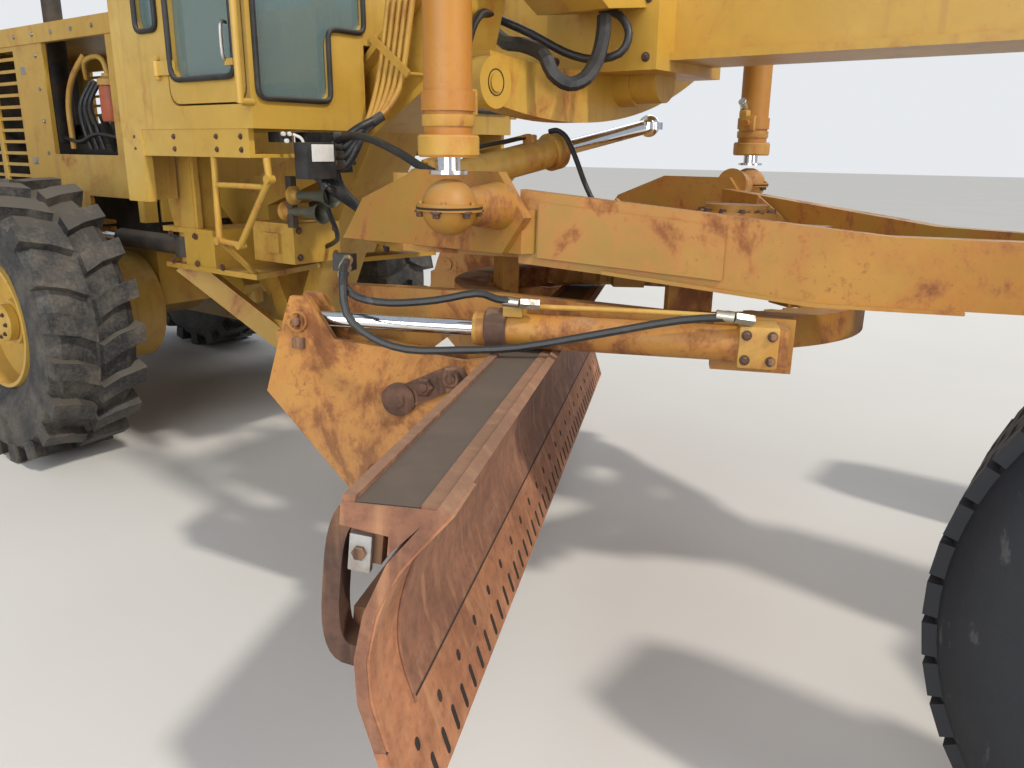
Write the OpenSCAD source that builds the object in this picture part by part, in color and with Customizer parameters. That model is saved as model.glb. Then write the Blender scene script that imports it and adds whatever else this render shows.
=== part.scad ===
// Motor grader: articulated road grader with tandem rear wheels and a blade under its frame.
// Units are millimetres. X points forward, Y to the left and Z up, with the ground at Z = 0.

/* [Wheels] */
// Radius of the tyres over their lugs
tyre_r = 690; // [600:5:760]
// Width of the tyres
tyre_w = 440; // [360:5:500]
// Height of the lugs on the rear tyres
lug_h = 42; // [20:1:55]
// Lugs in each row of a rear tyre
lug_count = 20; // [14:1:24]
// Radius of the rims at the tyre bead
rim_r = 322; // [280:2:360]
// Wheel nuts on each rim
nut_count = 10; // [6:1:12]
// Radius of the ring of wheel nuts
nut_ring_r = 165; // [150:1:175]
// Half distance between tyre centres
track_half = 1030; // [950:5:1120]
// Distance between the wheels of one tandem
tandem_pitch = 1520; // [1450:5:1650]
// Distance from front axle to the middle of the tandem
wheelbase = 5660; // [5400:10:5950]

/* [Frame] */
// Distance from front axle to the articulation pin
pin_back = 4450; // [4200:10:4600]
// Height of the underside of the front beam
beam_z = 1860; // [1800:5:1950]
// Height of the front beam section
beam_h = 300; // [240:5:340]
// Half width of the front beam
beam_half = 135; // [110:5:170]
// Height over the cab roof
cab_top = 3250; // [3150:10:3350]

/* [Drawbar] */
// Height of the drawbar ball over the ground
ball_z = 1100; // [1000:5:1200]
// Distance from front axle to the drawbar ball
ball_back = 300; // [200:5:400]
// Side lean of the drawbar, left side down
drawbar_roll = -1.8; // [-4:0.1:4]
// Distance from drawbar ball to the circle centre
circle_back = 1640; // [1500:5:1750]
// Outer radius of the circle
circle_r = 765; // [700:5:800]
// Angle of the blade to the axle line
blade_angle = 25.7; // [0:0.1:45]

/* [Blade] */
// Length of the moldboard
blade_len = 3660; // [3000:10:3960]
// Height of the moldboard with its cutting edge
blade_h = 638; // [560:2:720]
// Side shift of the blade from the circle centre
blade_shift = -240; // [-400:5:400]
// Thickness of the moldboard plate
blade_t = 20; // [16:1:30]

/* [Cylinders] */
// Barrel radius of the lift cylinders
lift_r = 66; // [55:1:80]
// Rod radius of the lift cylinders
lift_rod_r = 32; // [25:1:40]
// Barrel radius of the centre shift cylinder
shift_r = 58; // [50:1:70]
// Barrel radius of the blade tip cylinder
tip_r = 52; // [40:1:60]
// Barrel radius of the articulation cylinders
artic_r = 48; // [40:1:60]
// Rod radius of the articulation cylinders
artic_rod_r = 26; // [20:1:32]

/* [Fits] */
// Radial clearance of shafts in bores
fit = 0.06; // [0.01:0.01:0.1]

/* [Hidden] */
$fn = 48;
move_x = 3300;
move_y = 330;
axle_z = tyre_r;
tandem_x = [-wheelbase + tandem_pitch / 2, -wheelbase - tandem_pitch / 2];
circle_z = -110;
bead_half = 150;
seat = 0.3;
case_r = 290;
spindle_r = 55;
artic_z = 1065;
artic_rear_x = -5200;
artic_rear_y = 500;
artic_front_x = -4240;
artic_front_y = 535.5;
hood_back = 7200;
hood_front = 4640;
hood_half = 500;
hood_top = 2180;
hood_t = 24;
stack_x = -5500;
stack_y = 150;
cleaner_x = -6000;
cleaner_y = -180;
tow_x = -7255;
tow_bore_r = 20;
nose_holes_y = 320;
nose_holes_z = 260;
nose_z = 1085;
nose_hole_r = 13.5;
ball_r = 60;
cab_back = 4200;
cab_front = 3250;
cab_half = 820;
cab_floor = 1610;
wall_t = 40;
tunnel_half = 230;
tunnel_top = 1960;
door_back = 3790;
door_front = 3270;
door_low = 1700;
door_high = cab_top - 300;
window_top = cab_top - 360;
door_gap = 8;
door_hinge_x = 3850;
door_hinge_y = 834;
hinge_z = [1850, cab_top - 500];
lift_ball_z = 285;
function lift_ball(s) = [lift_x, s * lift_y * cos(drawbar_roll) + lift_ball_z * sin(drawbar_roll),
  -s * lift_y * sin(drawbar_roll) + lift_ball_z * cos(drawbar_roll)];
door_hole = [-door_back, -door_front, door_low, door_high];
quarter_window = [-3985, -3835, 2000, cab_top - 350];
lift_top_z = 2160;
link_y = 800;
link_z = 1857.5;
link_tilt = 8.7;
yoke_y = 745;
king_y = 850;
arm_in = 660;
arm_out = 720;
lift_x = -1720;
lift_y = 1100;
tip_z1 = 5;
eye_n = -1045;
eye_z = 0;
pivot_n = -800;
pivot_z = -470;
tip_rod_r = 25;
shift_rod_r = 30;
shift_a = [-2560, -700, 1400];
shift_b = [-2220, 430, 1640];

// Helpers for boxes, prisms, rods and placing
module box(x0, x1, y0, y1, z0, z1) {
  translate([x0, y0, z0]) cube([x1 - x0, y1 - y0, z1 - z0]);
}
module side_prism(points, y0, y1) {
  translate([0, y1, 0]) rotate([90, 0, 0]) linear_extrude(y1 - y0) polygon(points);
}
module flat_prism(points, z0, z1) {
  translate([0, 0, z0]) linear_extrude(z1 - z0) polygon(points);
}
module end_prism(points, x0, x1) {
  translate([x0, 0, 0]) rotate([90, 0, 90]) linear_extrude(x1 - x0) polygon(points);
}
module rod(p, q, r) {
  d = q - p;
  len = norm(d);
  translate(p) rotate([0, acos(d[2] / len), atan2(d[1], d[0])]) cylinder(h = len, r = r);
}
module along(p, q) {
  d = q - p;
  translate(p) rotate([0, acos(d[2] / norm(d)), atan2(d[1], d[0])]) children();
}
module pin_y(x, z, y0, y1, r) {
  translate([x, y1, z]) rotate([90, 0, 0]) cylinder(h = y1 - y0, r = r);
}
module pin_x(y, z, x0, x1, r) {
  translate([x0, y, z]) rotate([0, 90, 0]) cylinder(h = x1 - x0, r = r);
}
module pin_z(x, y, z0, z1, r) {
  translate([x, y, z0]) cylinder(h = z1 - z0, r = r);
}
module both() {
  children();
  mirror([0, 1, 0]) children();
}
module place() {
  translate([move_x, move_y, 0]) children();
}
module drawbar_frame() {
  place() translate([-ball_back, 0, ball_z]) rotate([drawbar_roll, 0, 0]) children();
}
module circle_frame() {
  drawbar_frame() translate([-circle_back, 0, circle_z]) rotate([0, 0, blade_angle]) children();
}

// Wheels: a tyre body of revolution and a dished rim with hub
module wheel_at(x, y) {
  place() translate([x, y, axle_z]) rotate([y < 0 ? 90 : -90, 0, 0]) children();
}
module tyre(tread_depth) {
  hw = tyre_w / 2;
  crown = tyre_r - tread_depth;
  rotate_extrude($fn = 32) polygon([[rim_r, -bead_half], [430, 15 - hw], [560, 6 - hw], [610, 10 - hw],
    [crown, 60 - hw],
    [crown, hw - 60], [610, hw - 10], [560, hw - 6], [430, hw - 15], [rim_r, bead_half]]);
}
// One traction lug runs from the middle of the tread to the shoulder; two staggered rows of them
module lug(side) {
  hw = tyre_w / 2;
  half = [[10, -75], [10, 15], [90, 55], [hw, 85], [hw, 0], [100, -30]];
  translate([600, 0, 0]) rotate([0, 90,
    0]) linear_extrude(tyre_r - 600) polygon([for (q = half) [-side * q[0], q[1]]]);
}
module drive_tyre() {
  tyre(lug_h);
  for (side = [-1, 1]) for (i = [1:lug_count]) rotate((i + side / 4) * 360 / lug_count) lug(side);
}
module rim() {
  rotate_extrude() polygon([[spindle_r + fit, -60], [120, -60], [120, -20], [200, -20], [300, 40], [300,
    -170], [rim_r - 4, -170],
    [rim_r - seat, -bead_half], [rim_r - seat, bead_half], [rim_r - 4, 170], [300, 170], [300, 62], [200,
      0], [125, 10],
    [110, 90], [spindle_r + fit, 90]]);
  for (i = [1:nut_count]) rotate(i * 360 / nut_count) translate([nut_ring_r, 0, -1]) cylinder(h = 24,
    r = 17, $fn = 6);
}
module tyre_rear_1_right() { color("#26282a") wheel_at(tandem_x[0], -track_half) drive_tyre(); }
module rim_rear_1_right() { color("#d9a62e") wheel_at(tandem_x[0], -track_half) rim(); }
module tyre_rear_1_left() { color("#26282a") wheel_at(tandem_x[0], track_half) drive_tyre(); }
module rim_rear_1_left() { color("#d9a62e") wheel_at(tandem_x[0], track_half) rim(); }
module tyre_rear_2_right() { color("#26282a") wheel_at(tandem_x[1], -track_half) drive_tyre(); }
module rim_rear_2_right() { color("#d9a62e") wheel_at(tandem_x[1], -track_half) rim(); }
module tyre_rear_2_left() { color("#26282a") wheel_at(tandem_x[1], track_half) drive_tyre(); }
module rim_rear_2_left() { color("#d9a62e") wheel_at(tandem_x[1], track_half) rim(); }
module tyre_front_right() { color("#26282a") wheel_at(0, -track_half) tyre(0); }
module rim_front_right() { color("#d9a62e") wheel_at(0, -track_half) rim(); }
module tyre_front_left() { color("#26282a") wheel_at(0, track_half) tyre(0); }
module rim_front_left() { color("#d9a62e") wheel_at(0, track_half) rim(); }

// Rear frame: rails, bumper, rear axle, tandem cases with wheel spindles, pin lugs
module rear_frame() {
  color("#d9a62e") place() {
    both() box(-7150, -4700, 330, 430, 800, 1000);
    box(-7220, -7100, -560, 560, 640, 1060);
    box(-4800, -4690, -430, 430, 700, 1005);
    box(-5400, -4750, -331, 331, 780, 980);
    box(-6300, -5900, -331, 331, 860, 980);
    pin_y(-wheelbase, axle_z, -470, 470, 170);
    pin_y(-wheelbase, axle_z, -331, 331, 230);
    box(-wheelbase - 120, -wheelbase + 120, -431, 431, 700, 900);
    both() tandem_case();
    both() for (x = tandem_x) {
      pin_y(x, axle_z, 670, 940, spindle_r + 35);
      pin_y(x, axle_z, 930, track_half + 95, spindle_r);
    }
    pin_z(-pin_back, 0, 690, 1112, 45);
    side_prism([[-4700, 700], [-4560, 740], [-4430, 740], [-4385, 800], [-4430, 860], [-4700, 860]],
      -110, 110);
    side_prism([[-4700, 920], [-4560, 930], [-4430, 930], [-4385, 980], [-4430, 1030], [-4700, 1030]],
      -110, 110);
    both() artic_ears(artic_rear_x, artic_rear_y, 400);
    both() for (x = [-6900, -6300, -5560]) box(x, x + 80, 400, 470, 995, 1099.7);
    difference() {
      for (z = [690, 790]) side_prism([[-7221, z], [-7221, z + 35], [tow_x - 40, z + 35], [tow_x - 40,
        z]], -70, 70);
      pin_z(tow_x, 0, 600, 900, tow_bore_r);
    }
    both() for (y = [300, 470]) pin_x(y, 960, -7235, -7219, 45);
  }
}
// A pair of ears on a frame that holds the pin of an articulation cylinder
module artic_ears(x, y, root_y) {
  for (z = [artic_z - 70, artic_z + 50]) box(x - 70, x + 70, root_y, y + 55, z, z + 20);
  for (z = [artic_z - 82, artic_z + 69]) pin_z(x, y, z, z + 13, 34);
  box(x - 70, x + 70, root_y, root_y + 35, artic_z - 105, artic_z + 34);
}
module tandem_case() {
  box(tandem_x[1], tandem_x[0], 460, 680, axle_z - case_r, axle_z + case_r);
  for (x = tandem_x) pin_y(x, axle_z, 460, 680, case_r);
  for (x = tandem_x) pin_y(x, axle_z, 679, 700, 130);
}

// Hood: roof, rear tank end, side walls with open service bays and grille bars
module hood() {
  bar_z = 1350;
  color("#d9a62e") place() {
    difference() {
      union() {
        box(-hood_back, -hood_front, -hood_half, hood_half, 1150, hood_top);
        both() box(-hood_back, -hood_front, hood_half - 1, hood_half + 8, hood_top - 95, hood_top);
      }
      box(-hood_back + 60, -hood_front - hood_t, hood_t - hood_half, hood_half - hood_t, 1100,
        hood_top - 30);
      both() box(-5520, -4840, 400, 600, 1490, hood_top - 96);
      both() box(-5190, -hood_front + 40, 400, 600, 1100, 1270);
      both() box(-6900, -5870, 400, 600, 1330, 2060);
      box(-hood_back - 50, -7100, -380, 380, 1250, 2080);
      pin_z(stack_x, stack_y, 2000, 2300, 60);
      pin_z(cleaner_x, cleaner_y, 2000, 2300, 70);
    }
    both() for (i = [0:10]) box(-6901, -5869, hood_half - 20, hood_half - 8, bar_z + i * 66,
      bar_z + 18 + i * 66);
    both() for (x = [-6560, -6220]) box(x, x + 40, hood_half - 22, hood_half - 2, 1329, 2061);
    for (i = [0:11]) box(-7190, -7176, -381, 381, 1270 + i * 68, 1286 + i * 68);
    both() box(-7150, -5300, 429, hood_half - 20, 1100, 1151);
    both() box(-hood_front - 60, -hood_front - 1, 429, hood_half, 1151, 1480);
  }
}

// Engine block with stack, air cleaner and radiator
module engine() {
  color("#4a4c4a") place() {
    box(-6250, -5000, -220, 220, 980.3, 1450);
    box(-6150, -5100, -150, 150, 1440, 1600);
    for (i = [0:2]) box(-6120 + i * 340, -5830 + i * 340, -120, 120, 1590, 1665);
    pin_x(-250, 1500, -6100, -5150, 48);
    for (i = [0:5]) translate([-6050 + i * 170, 0, 1500]) rotate([90, 0, 0]) cylinder(h = 250, r = 30);
    box(-7080, -6980, -420, 420, 1100, 2080);
    both() box(-7080, -6980, 340, 420, 1000.3, 1101);
    pin_x(0, 1450, -6930, -6240, 45);
    for (i = [0:5]) translate([-6900, 0, 1450]) rotate([i * 60, 0, 0]) rotate([0, 0, 25]) box(-8, 8, -60,
      60, 40, 380);
    pin_z(stack_x, stack_y, 1400, 2850, 45);
    pin_z(stack_x, stack_y, 2230, 2600, 90);
    pin_z(cleaner_x, cleaner_y, 1400, 2700, 55);
    pin_z(cleaner_x, cleaner_y, 2500, 2760, 130);
    box(-6985, -6240, -40, 40, 1100, 1300);
    both() pin_z(-4960, 330, 1590, 1780, 55);
    both() box(-5060, -4930, 200, 345, 1330, 1360);
    both() pin_z(-4960, 330, 1340, 1600, 26);
    both() box(-5030, -4990, 200, 300, 1350, 1445);
    both() rod([-5300, 210, 1380], [-5180, 380, 1700], 22);
    both() rod([-5220, 210, 1380], [-5080, 380, 1700], 22);
  }
}

// Front frame: pin lugs, low frame with risers, front beam, bolster, lift arms and steps
module front_frame() {
  color("#d9a62e") place() {
    difference() {
      union() {
        side_prism([[-4520, 866], [-4300, 866], [-4180, 760], [-4180, 1160], [-4300, 914], [-4520, 914]],
          -100, 100);
        side_prism([[-4520, 1036], [-4200, 1036], [-4150, 1160], [-4520, 1100]], -100, 100);
        side_prism(main_frame_outline, -beam_half, beam_half);
        box(-300, -100, -36, 36, ball_z - 36, ball_z + 36);
      }
      pin_z(-pin_back, 0, 700, 1200, 45 + fit);
      translate([-ball_back, 0, ball_z]) sphere(r = ball_r + seat);
      box(-400, -ball_back, -60, 60, ball_z - 60, ball_z + 60);
      side_prism([[-4100, 1250], [-4100, 960], [-3990, 740], [-3900, 740], [-3700, 1150], [-3640, 1400]],
        -200, 200);
    }
    // Flanges along the top of the riser, its front edge and the underside of the beam
    side_prism([[-2930, beam_z + beam_h], [-2960, beam_z + beam_h + 25], [-3365, 1855], [-3715, 1580],
      [-3700, 1560],
      [-3350, 1835]], -200, 200);
    side_prism([[-3660, 1030], [-3500, 1300], [-3280, 1620], [-3090, 1732], [-2900, beam_z + 1], [-2860,
      beam_z - 20],
      [-3075, 1712], [-3262, 1606], [-3480, 1290], [-3640, 1020]], -165, 165);
    box(-2900, -700, -165, 165, beam_z - 25, beam_z + 1);
    side_prism([[-180, 1300], [-180, 860], [330, 860], [330, 1300], [230, 1500], [-180, 1500]], -230, 230);
    nose_plate();
    axle_lugs();
    both() artic_bracket();
    both() step_and_post();
    lift_saddle();
  }
}
main_frame_outline = [[-4520, 1330], [-4520, 1240], [-4310, 1050], [-4130, 810], [-4080, 650], [-3990,
  560], [-3900, 560],
  [-3660, 1030], [-3500, 1300], [-3280, 1620], [-3090, 1732], [-2900, beam_z], [-700, beam_z], [-180,
    1500], [-180, 860],
  [330, 860], [330, 1300], [200, 1700], [-400, beam_z + beam_h], [-2930, beam_z + beam_h], [-3350, 1835],
    [-3700, 1560],
  [-4150, 1400]];
// Bolting face at the nose for a front attachment
module nose_plate() {
  difference() {
    box(329, 360, -240, 240, 880, 1290);
    for (y = [-1, 1], z = [-1, 1]) pin_x(y * nose_holes_y / 2, nose_z + z * nose_holes_z / 2, 300, 400,
      nose_hole_r);
  }
}
module axle_lugs() {
  difference() {
    for (x = [-170, 112]) end_prism([[-120, 870], [120, 870], [85, 715], [-85, 715]], x, x + 58);
    pin_x(0, 800, -300, 300, 60 + fit);
  }
}
// Bracket block with ears for an articulation barrel, and the slanting strut under it
module artic_bracket() {
  difference() {
    union() {
      flat_prism([[-4320, 480], [-4320, 600], [-3910, 600], [-3910, 130], [-4100, 130], [-4150, 480]],
        artic_z + 76, artic_z + 100);
      flat_prism([[-4320, 480], [-4320, 600], [-3600, 600], [-3700, 130], [-4100, 130], [-4150, 480]],
        artic_z - 100, artic_z - 76);
    }
    pin_z(artic_front_x, artic_front_y, 900, 1300, 25);
  }
  pin_z(artic_front_x, artic_front_y, artic_z - 80, artic_z + 80, 25);
  box(-4150, -3910, 130, 595, artic_z - 77, artic_z + 77);
  difference() {
    along([-4290, 520, artic_z - 85], [-3960, 190, 560]) translate([-50, -45, 0]) cube([100, 90, 640]);
    box(-4600, -3600, 0, 800, artic_z - 77, artic_z + 300);
  }
  box(-4010, -3900, 120, 230, 560, 680);
}
// Cab post with its tapered gusset, the two step rungs on their rails, and a square cover box
module step_and_post() {
  side_prism([[-4040, artic_z + 99], [-4080, artic_z + 99], [-4240, artic_z + 99], [-4340,
    cab_floor - 110.3],
    [-4040, cab_floor - 110.3]], 560, 585);
  box(-4150, -4060, 470, 590, artic_z + 99, cab_floor - 110.3);
  rod([-3560, 800, 1160], [-3550, 800, cab_floor - 110.3], 14);
  rod([-3430, 790, 1150], [-3200, 800, 1420], 14);
  rod([-3200, 800, 1420], [-3210, 800, cab_floor - 110.3], 14);
  rod([-3552, 800, 1390], [-3220, 800, 1390], 11);
  for (q = [[-3200, 800, 1420], [-3560, 800, 1160], [-3430, 790, 1150]]) pin_y(q[0], q[2], q[1] - 18,
    q[1] + 18, 17);
  rod([-3560, 800, 1160], [-3430, 790, 1150], 12);
  rod([-3560, 800, 1160], [-3645, 560, 975], 12);
  box(-3780, -3490, 200, 470, 1030, 1210);
  box(-3760, -3640, 130, 210, 1060, 1180);
  box(-3690, -3580, 465, 485, 1075, 1165);
}
// Lift arms on the beam, with the curved link bar that hangs between their lower pins
module lift_saddle() {
  arm_x = lift_x - ball_back;
  box(-2280, -1840, -260, 260, beam_z - 60, beam_z + 200);
  both() {
    end_prism([[200, 2000], [200, 2200], [420, 2290], [760, 2250], [760, 2080], [500, 1960]],
      arm_x - 134, arm_x + 134);
    difference() {
      for (side = [-1, 1]) {
        x = arm_x + side * 114;
        end_prism([[750, 2080], [750, 2250], [lift_y, lift_top_z + 60], [lift_y + 60, lift_top_z],
          [lift_y, lift_top_z - 60]], x - 20, x + 20);
      }
      pin_x(lift_y, lift_top_z, arm_x - 200, arm_x + 200, 26 + fit);
    }
  }
  for (s = [-1, 1]) {
    z = link_z + s * link_y * tan(link_tilt);
    end_prism([[s * 560, 2140], [s * 800, 2140], [s * (link_y + 70), z + 20], [s * (link_y - 30), z - 60],
      [s * (link_y - 120), z + 40]], arm_x - 235, arm_x - 184);
    box(arm_x - 235, arm_x - 133, s > 0 ? 560 : -740, s > 0 ? 740 : -560, 2090, 2150);
    pin_x(s * link_y, z, arm_x - 250, arm_x - 70, 76);
    pin_x(s * link_y, z, arm_x - 71, arm_x - 64, 28);
  }
  translate([0, 0, link_z]) rotate([link_tilt, 0, 0]) {
    difference() {
      intersection() {
        box(arm_x - 190, arm_x - 90, -link_y, link_y, -300, 200);
        pin_x(0, 2156, arm_x - 200, arm_x - 80, 2356);
      }
      pin_x(0, 2905, arm_x - 200, arm_x - 80, 2925);
    }
  }
  pin_x(0, link_z - 72, arm_x - 200, arm_x + 85, 79);
  pin_x(0, link_z - 72, arm_x - 150, arm_x - 20, 88);
  // Lug and ball clamp for the centre shift rod
  end_prism([[370, 1795], [500, 1815], [480, shift_b[2] + 108], [390, shift_b[2] + 108]], arm_x - 215,
    arm_x - 160);
}

// Cab: hollow shell with roof, pillars, floor and lower walls
module cab_shell() {
  color("#d9a62e") place() {
    difference() {
      union() {
        box(-cab_back, -cab_front, -cab_half, cab_half, cab_floor, cab_top);
        both() box(-cab_back, -cab_back + 160, cab_half - wall_t, cab_half, 1300, cab_floor + 1);
        both() box(-cab_back, -cab_back + wall_t, cab_half - 220, cab_half, 1300, cab_floor + 1);
      }
      box(wall_t - cab_back, -cab_front - wall_t, wall_t - cab_half, cab_half - wall_t, cab_floor + 40,
        cab_top - 60);
      both() side_prism(side_window(quarter_window, 60, 0), cab_half - 60, cab_half + 20);
      both() side_prism(side_window(door_hole, 60, 0), cab_half - 60, cab_half + 20);
      both() end_prism(notched_window(0), -cab_front - 80, -cab_front + 80);
      box(-cab_back - 10, wall_t - cab_back + 10, -640, 640, 2000, door_high);
      box(-3700, -cab_front - wall_t - 1, -tunnel_half, tunnel_half, cab_floor - 50, cab_floor + 50);
      box(-cab_front - wall_t - 10, -cab_front + 50, -tunnel_half, tunnel_half, cab_floor - 50, tunnel_top);
    }
    // Tunnel over the riser inside the cab
    difference() {
      side_prism([[-3720, cab_floor + 1], [-3720, 1700], [-3400, tunnel_top + 15], [-cab_front - 1,
        tunnel_top + 15],
        [-cab_front - 1, cab_floor + 1]], -tunnel_half - 15, tunnel_half + 15);
      side_prism([[-3700, 1500], [-3700, 1665], [-3390, tunnel_top], [-cab_front + 50, tunnel_top],
        [-cab_front + 50, 1500]], -tunnel_half, tunnel_half);
    }
    // Skirt under the door side, roof lip, gutter and work lamps
    both() box(-cab_back + 1, -3290, cab_half - 30, cab_half - 5, cab_floor - 110, cab_floor + 1);
    both() box(-cab_back + 1, -3290, cab_half - 260, cab_half - 5, cab_floor - 110, cab_floor - 95);
    box(-cab_back - 40, -cab_front + 60, -cab_half - 25, cab_half + 25, cab_top - 1, cab_top + 45);
    both() pin_x(620, cab_top - 70, -cab_front - 1, -cab_front + 70, 75);
    both() for (z = hinge_z) {
      for (side = [-1, 1]) box(-door_hinge_x - 12, -door_hinge_x + 12, cab_half - 1, door_hinge_y + 8,
        z + side * 38 - 6, z + side * 38 + 6);
      pin_z(-door_hinge_x, door_hinge_y, z - 44, z + 44, 7);
    }
    // Grab rail at the front corner of each door
    both() {
      rod([-3255, cab_half + 45, 1700], [-3255, cab_half + 45, cab_top - 550], 14);
      for (z = [1705, cab_top - 555]) rod([-3255, cab_half - 10, z], [-3255, cab_half + 45, z], 14);
    }
  }
}
// Window outlines: rounded corners, sides given as [back, front, low, high], drawn in by m
function corner(x, z, r, a) = [for (i = [0:4]) [x + r * cos(a + i * 22.5), z + r * sin(a + i * 22.5)]];
function side_window(q, r, m) = concat(corner(q[1] - r - m, q[3] - r - m, r, 0), corner(q[0] + r + m,
  q[3] - r - m, r, 90),
  corner(q[0] + r + m, q[2] + r + m, r, 180), corner(q[1] - r - m, q[2] + r + m, r, 270));
// Front window with a step over the riser's tunnel, in Y and Z
function notched_window(m) = concat(corner(290 + m, window_top - m, 60, 90), corner(290 + m, 2065 + m,
  60, 180),
  [for (i = [4:-1:0]) [370 + (60 + m) * cos(i * 22.5), 1945 + (60 + m) * sin(i * 22.5)]],
  corner(490 + m, 1782 + m, 60, 180), corner(730 - m, 1782 + m, 60, 270), corner(730 - m, window_top - m,
    60, 0));
module cab_glass() {
  color("#5d7478") place() {
    both() side_prism(side_window(quarter_window, 60, seat), cab_half - 26, cab_half - 20);
    both() end_prism(notched_window(seat), -cab_front - 26, -cab_front - 20);
    box(-cab_back + 20, -cab_back + 26, seat - 640, 640 - seat, 2000 + seat, door_high - seat);
  }
}
module cab_interior() {
  floor_z = cab_floor + 40 + seat;
  color("#3a3632") place() {
    box(-4050, -3760, -150, 150, floor_z, 1980);
    box(-4080, -3620, -240, 240, 1979, 2080);
    side_prism([[-4095, 2079], [-3990, 2079], [-4030, 2620], [-4110, 2620]], -230, 230);
    box(-3380, -3300, -60, 60, tunnel_top + 15 + seat, 2045);
    rod([-3360, 0, 2030], [-3520, 0, 2385], 28);
    translate([-3520, 0, 2385]) rotate([0, -24.3, 0]) {
      rotate_extrude() polygon([[158, -11], [182, -11], [182, 11], [158, 11]]);
      for (a = [0, 120, 240]) rotate(a) box(0, 165, -12, 12, -6, 6);
    }
    both() box(-3600, -3470, 300, 400, floor_z, 2150);
    both() for (i = [0:3]) rod([-3585 + i * 32, 350, 2145], [-3590 + i * 32, 350, 2275], 7);
  }
}
module door(s) {
  window = [-3745, -3320, 1800, window_top];
  place() mirror([0, s < 0 ? 1 : 0, 0]) {
    difference() {
      side_prism(side_window(door_hole, 60, door_gap), cab_half - wall_t, cab_half);
      side_prism(side_window(window, 60, 0), cab_half - 60, cab_half + 20);
    }
    side_prism(side_window(window, 60, -1), cab_half - 26, cab_half - 20);
    difference() {
      for (z = hinge_z) {
        pin_z(-door_hinge_x, door_hinge_y, z - 30, z + 30, 13);
        box(-door_hinge_x, -3735, 826, 834, z - 28, z + 28);
        box(-3778, -3735, 819, 834, z - 28, z + 28);
      }
      pin_z(-door_hinge_x, door_hinge_y, 1700, 3000, 7 + fit);
    }
    rod([-3310, 819, 1850], [-3310, 845, 1850], 9);
    box(-3350, -3300, 844, 854, 1838, 1862);
  }
}
module door_right() { color("#d9a62e") door(-1); }
module door_left() { color("#d9a62e") door(1); }
function unit(v) = v / norm(v);
function bend(p, i, t) = let (a = p[max(i - 1, 0)], b = p[i], c = p[i + 1], d = p[min(i + 2, len(p) - 1)])
  0.5 * (2 * b + (c - a) * t + (2 * a - 5 * b + 4 * c - d) * t * t + (3 * b - a - 3 * c + d) * t * t * t);
function carry(t, i, u) = i >= len(t) ? [] : let (v = unit(u - (u * t[i]) * t[i])) concat([v], carry(t,
  i + 1, v));
// A bent hose or tube through points given in metres
module hose(points, r) {
  sides = 8;
  path = concat([for (i = [0:len(points) - 2]) for (k = [0:2]) bend(points, i, k / 3) * 1000],
    [points[len(points) - 1] * 1000]);
  last = len(path) - 1;
  tangent = [for (i = [0:last]) unit(path[min(i + 1, last)] - path[max(i - 1, 0)])];
  across = carry(tangent, 0, unit(cross(tangent[0], [0.3, 0.2, 1])));
  polyhedron([for (i = [0:last]) for (k = [0:sides - 1]) path[i] + r * (cos(k * 360 / sides) * across[i]
      + sin(k * 360 / sides) * cross(tangent[i], across[i]))],
    concat([[for (k = [0:sides - 1]) k], [for (k = [sides - 1:-1:0]) last * sides + k]],
      [for (i = [0:last - 1]) for (k = [0:sides - 1]) [i * sides + k, (i + 1) * sides + k,
        (i + 1) * sides + (k + 1) % sides]],
      [for (i = [0:last - 1]) for (k = [0:sides - 1]) [i * sides + k, (i + 1) * sides + (k + 1) % sides,
        i * sides + (k + 1) % sides]]));
}
module valve_bank() {
  color("#2a2c2e") place() {
    box(-3340, -3180, -550, -385, 1440, 1600);
    for (i = [0:5]) pin_x(-535 + i * 27, 1480, -3181, -3150, 9);
    for (i = [0:5]) pin_z(-3320 + i * 24, -460, 1410, 1441, 10);
    box(-3320, -3250, -700, -640, 1560, 1640 - 41);
    for (q = frame_hoses) hose(q[1], q[0]);
  }
}
// Radius and route of each held hose on the front frame
frame_hoses = [
  [24, [[-2.59, -0.30, 2.07], [-2.42, -0.42, 1.96], [-2.27, -0.52, 1.885], [-2.16, -0.57, 1.865], [-2.06,
    -0.60, 1.83],
    [-2.02, -0.60, 1.77], [-1.98, -0.57, 1.74], [-1.95, -0.52, 1.76], [-1.94, -0.47, 1.82], [-1.94,
      -0.44, 1.89],
    [-1.95, -0.42, 1.95]]],
];

// Front axle with leaning yokes and steering knuckles
module front_axle() {
  color("#d9a62e") place() {
    difference() {
      union() {
        end_prism([[-700, 480], [700, 480], [700, 560], [400, 850], [-400, 850], [-700, 560]], -100, 100);
        both() pin_x(yoke_y, 520, -100, 100, 56);
        both() box(-100, 100, 690, yoke_y, 466, 574);
      }
      both() pin_x(yoke_y, 520, -200, 200, 30 + fit);
      both() box(-70, 70, 682, 900, 400, 640);
    }
    pin_x(0, 800, -175, 175, 60);
  }
}
module yoke(s) {
  place() mirror([0, s < 0 ? 1 : 0, 0]) {
    difference() {
      union() {
        pin_x(yoke_y, 520, -60, 60, 50);
        box(-30, 30, yoke_y - 5, 786, 500, 900);
        for (z = [500, 820]) box(-60, 60, 780, 900, z, z + 60);
      }
      pin_z(0, king_y, 400, 1000, 30 + fit);
    }
    pin_x(yoke_y, 520, -98, 98, 30);
  }
}
module yoke_right() { color("#c8982a") yoke(-1); }
module yoke_left() { color("#c8982a") yoke(1); }
module knuckle(s) {
  place() mirror([0, s < 0 ? 1 : 0, 0]) {
    pin_z(0, king_y, 502, 878, 30);
    pin_z(0, king_y, 566, 814, 58);
    pin_y(0, axle_z, 880, track_half + 95, spindle_r);
    pin_y(0, axle_z, 860, 955, spindle_r + 20);
    box(-230, -20, king_y - 15, king_y + 15, 600, 640);
  }
}
module knuckle_right() { color("#c8982a") knuckle(-1); }
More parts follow.
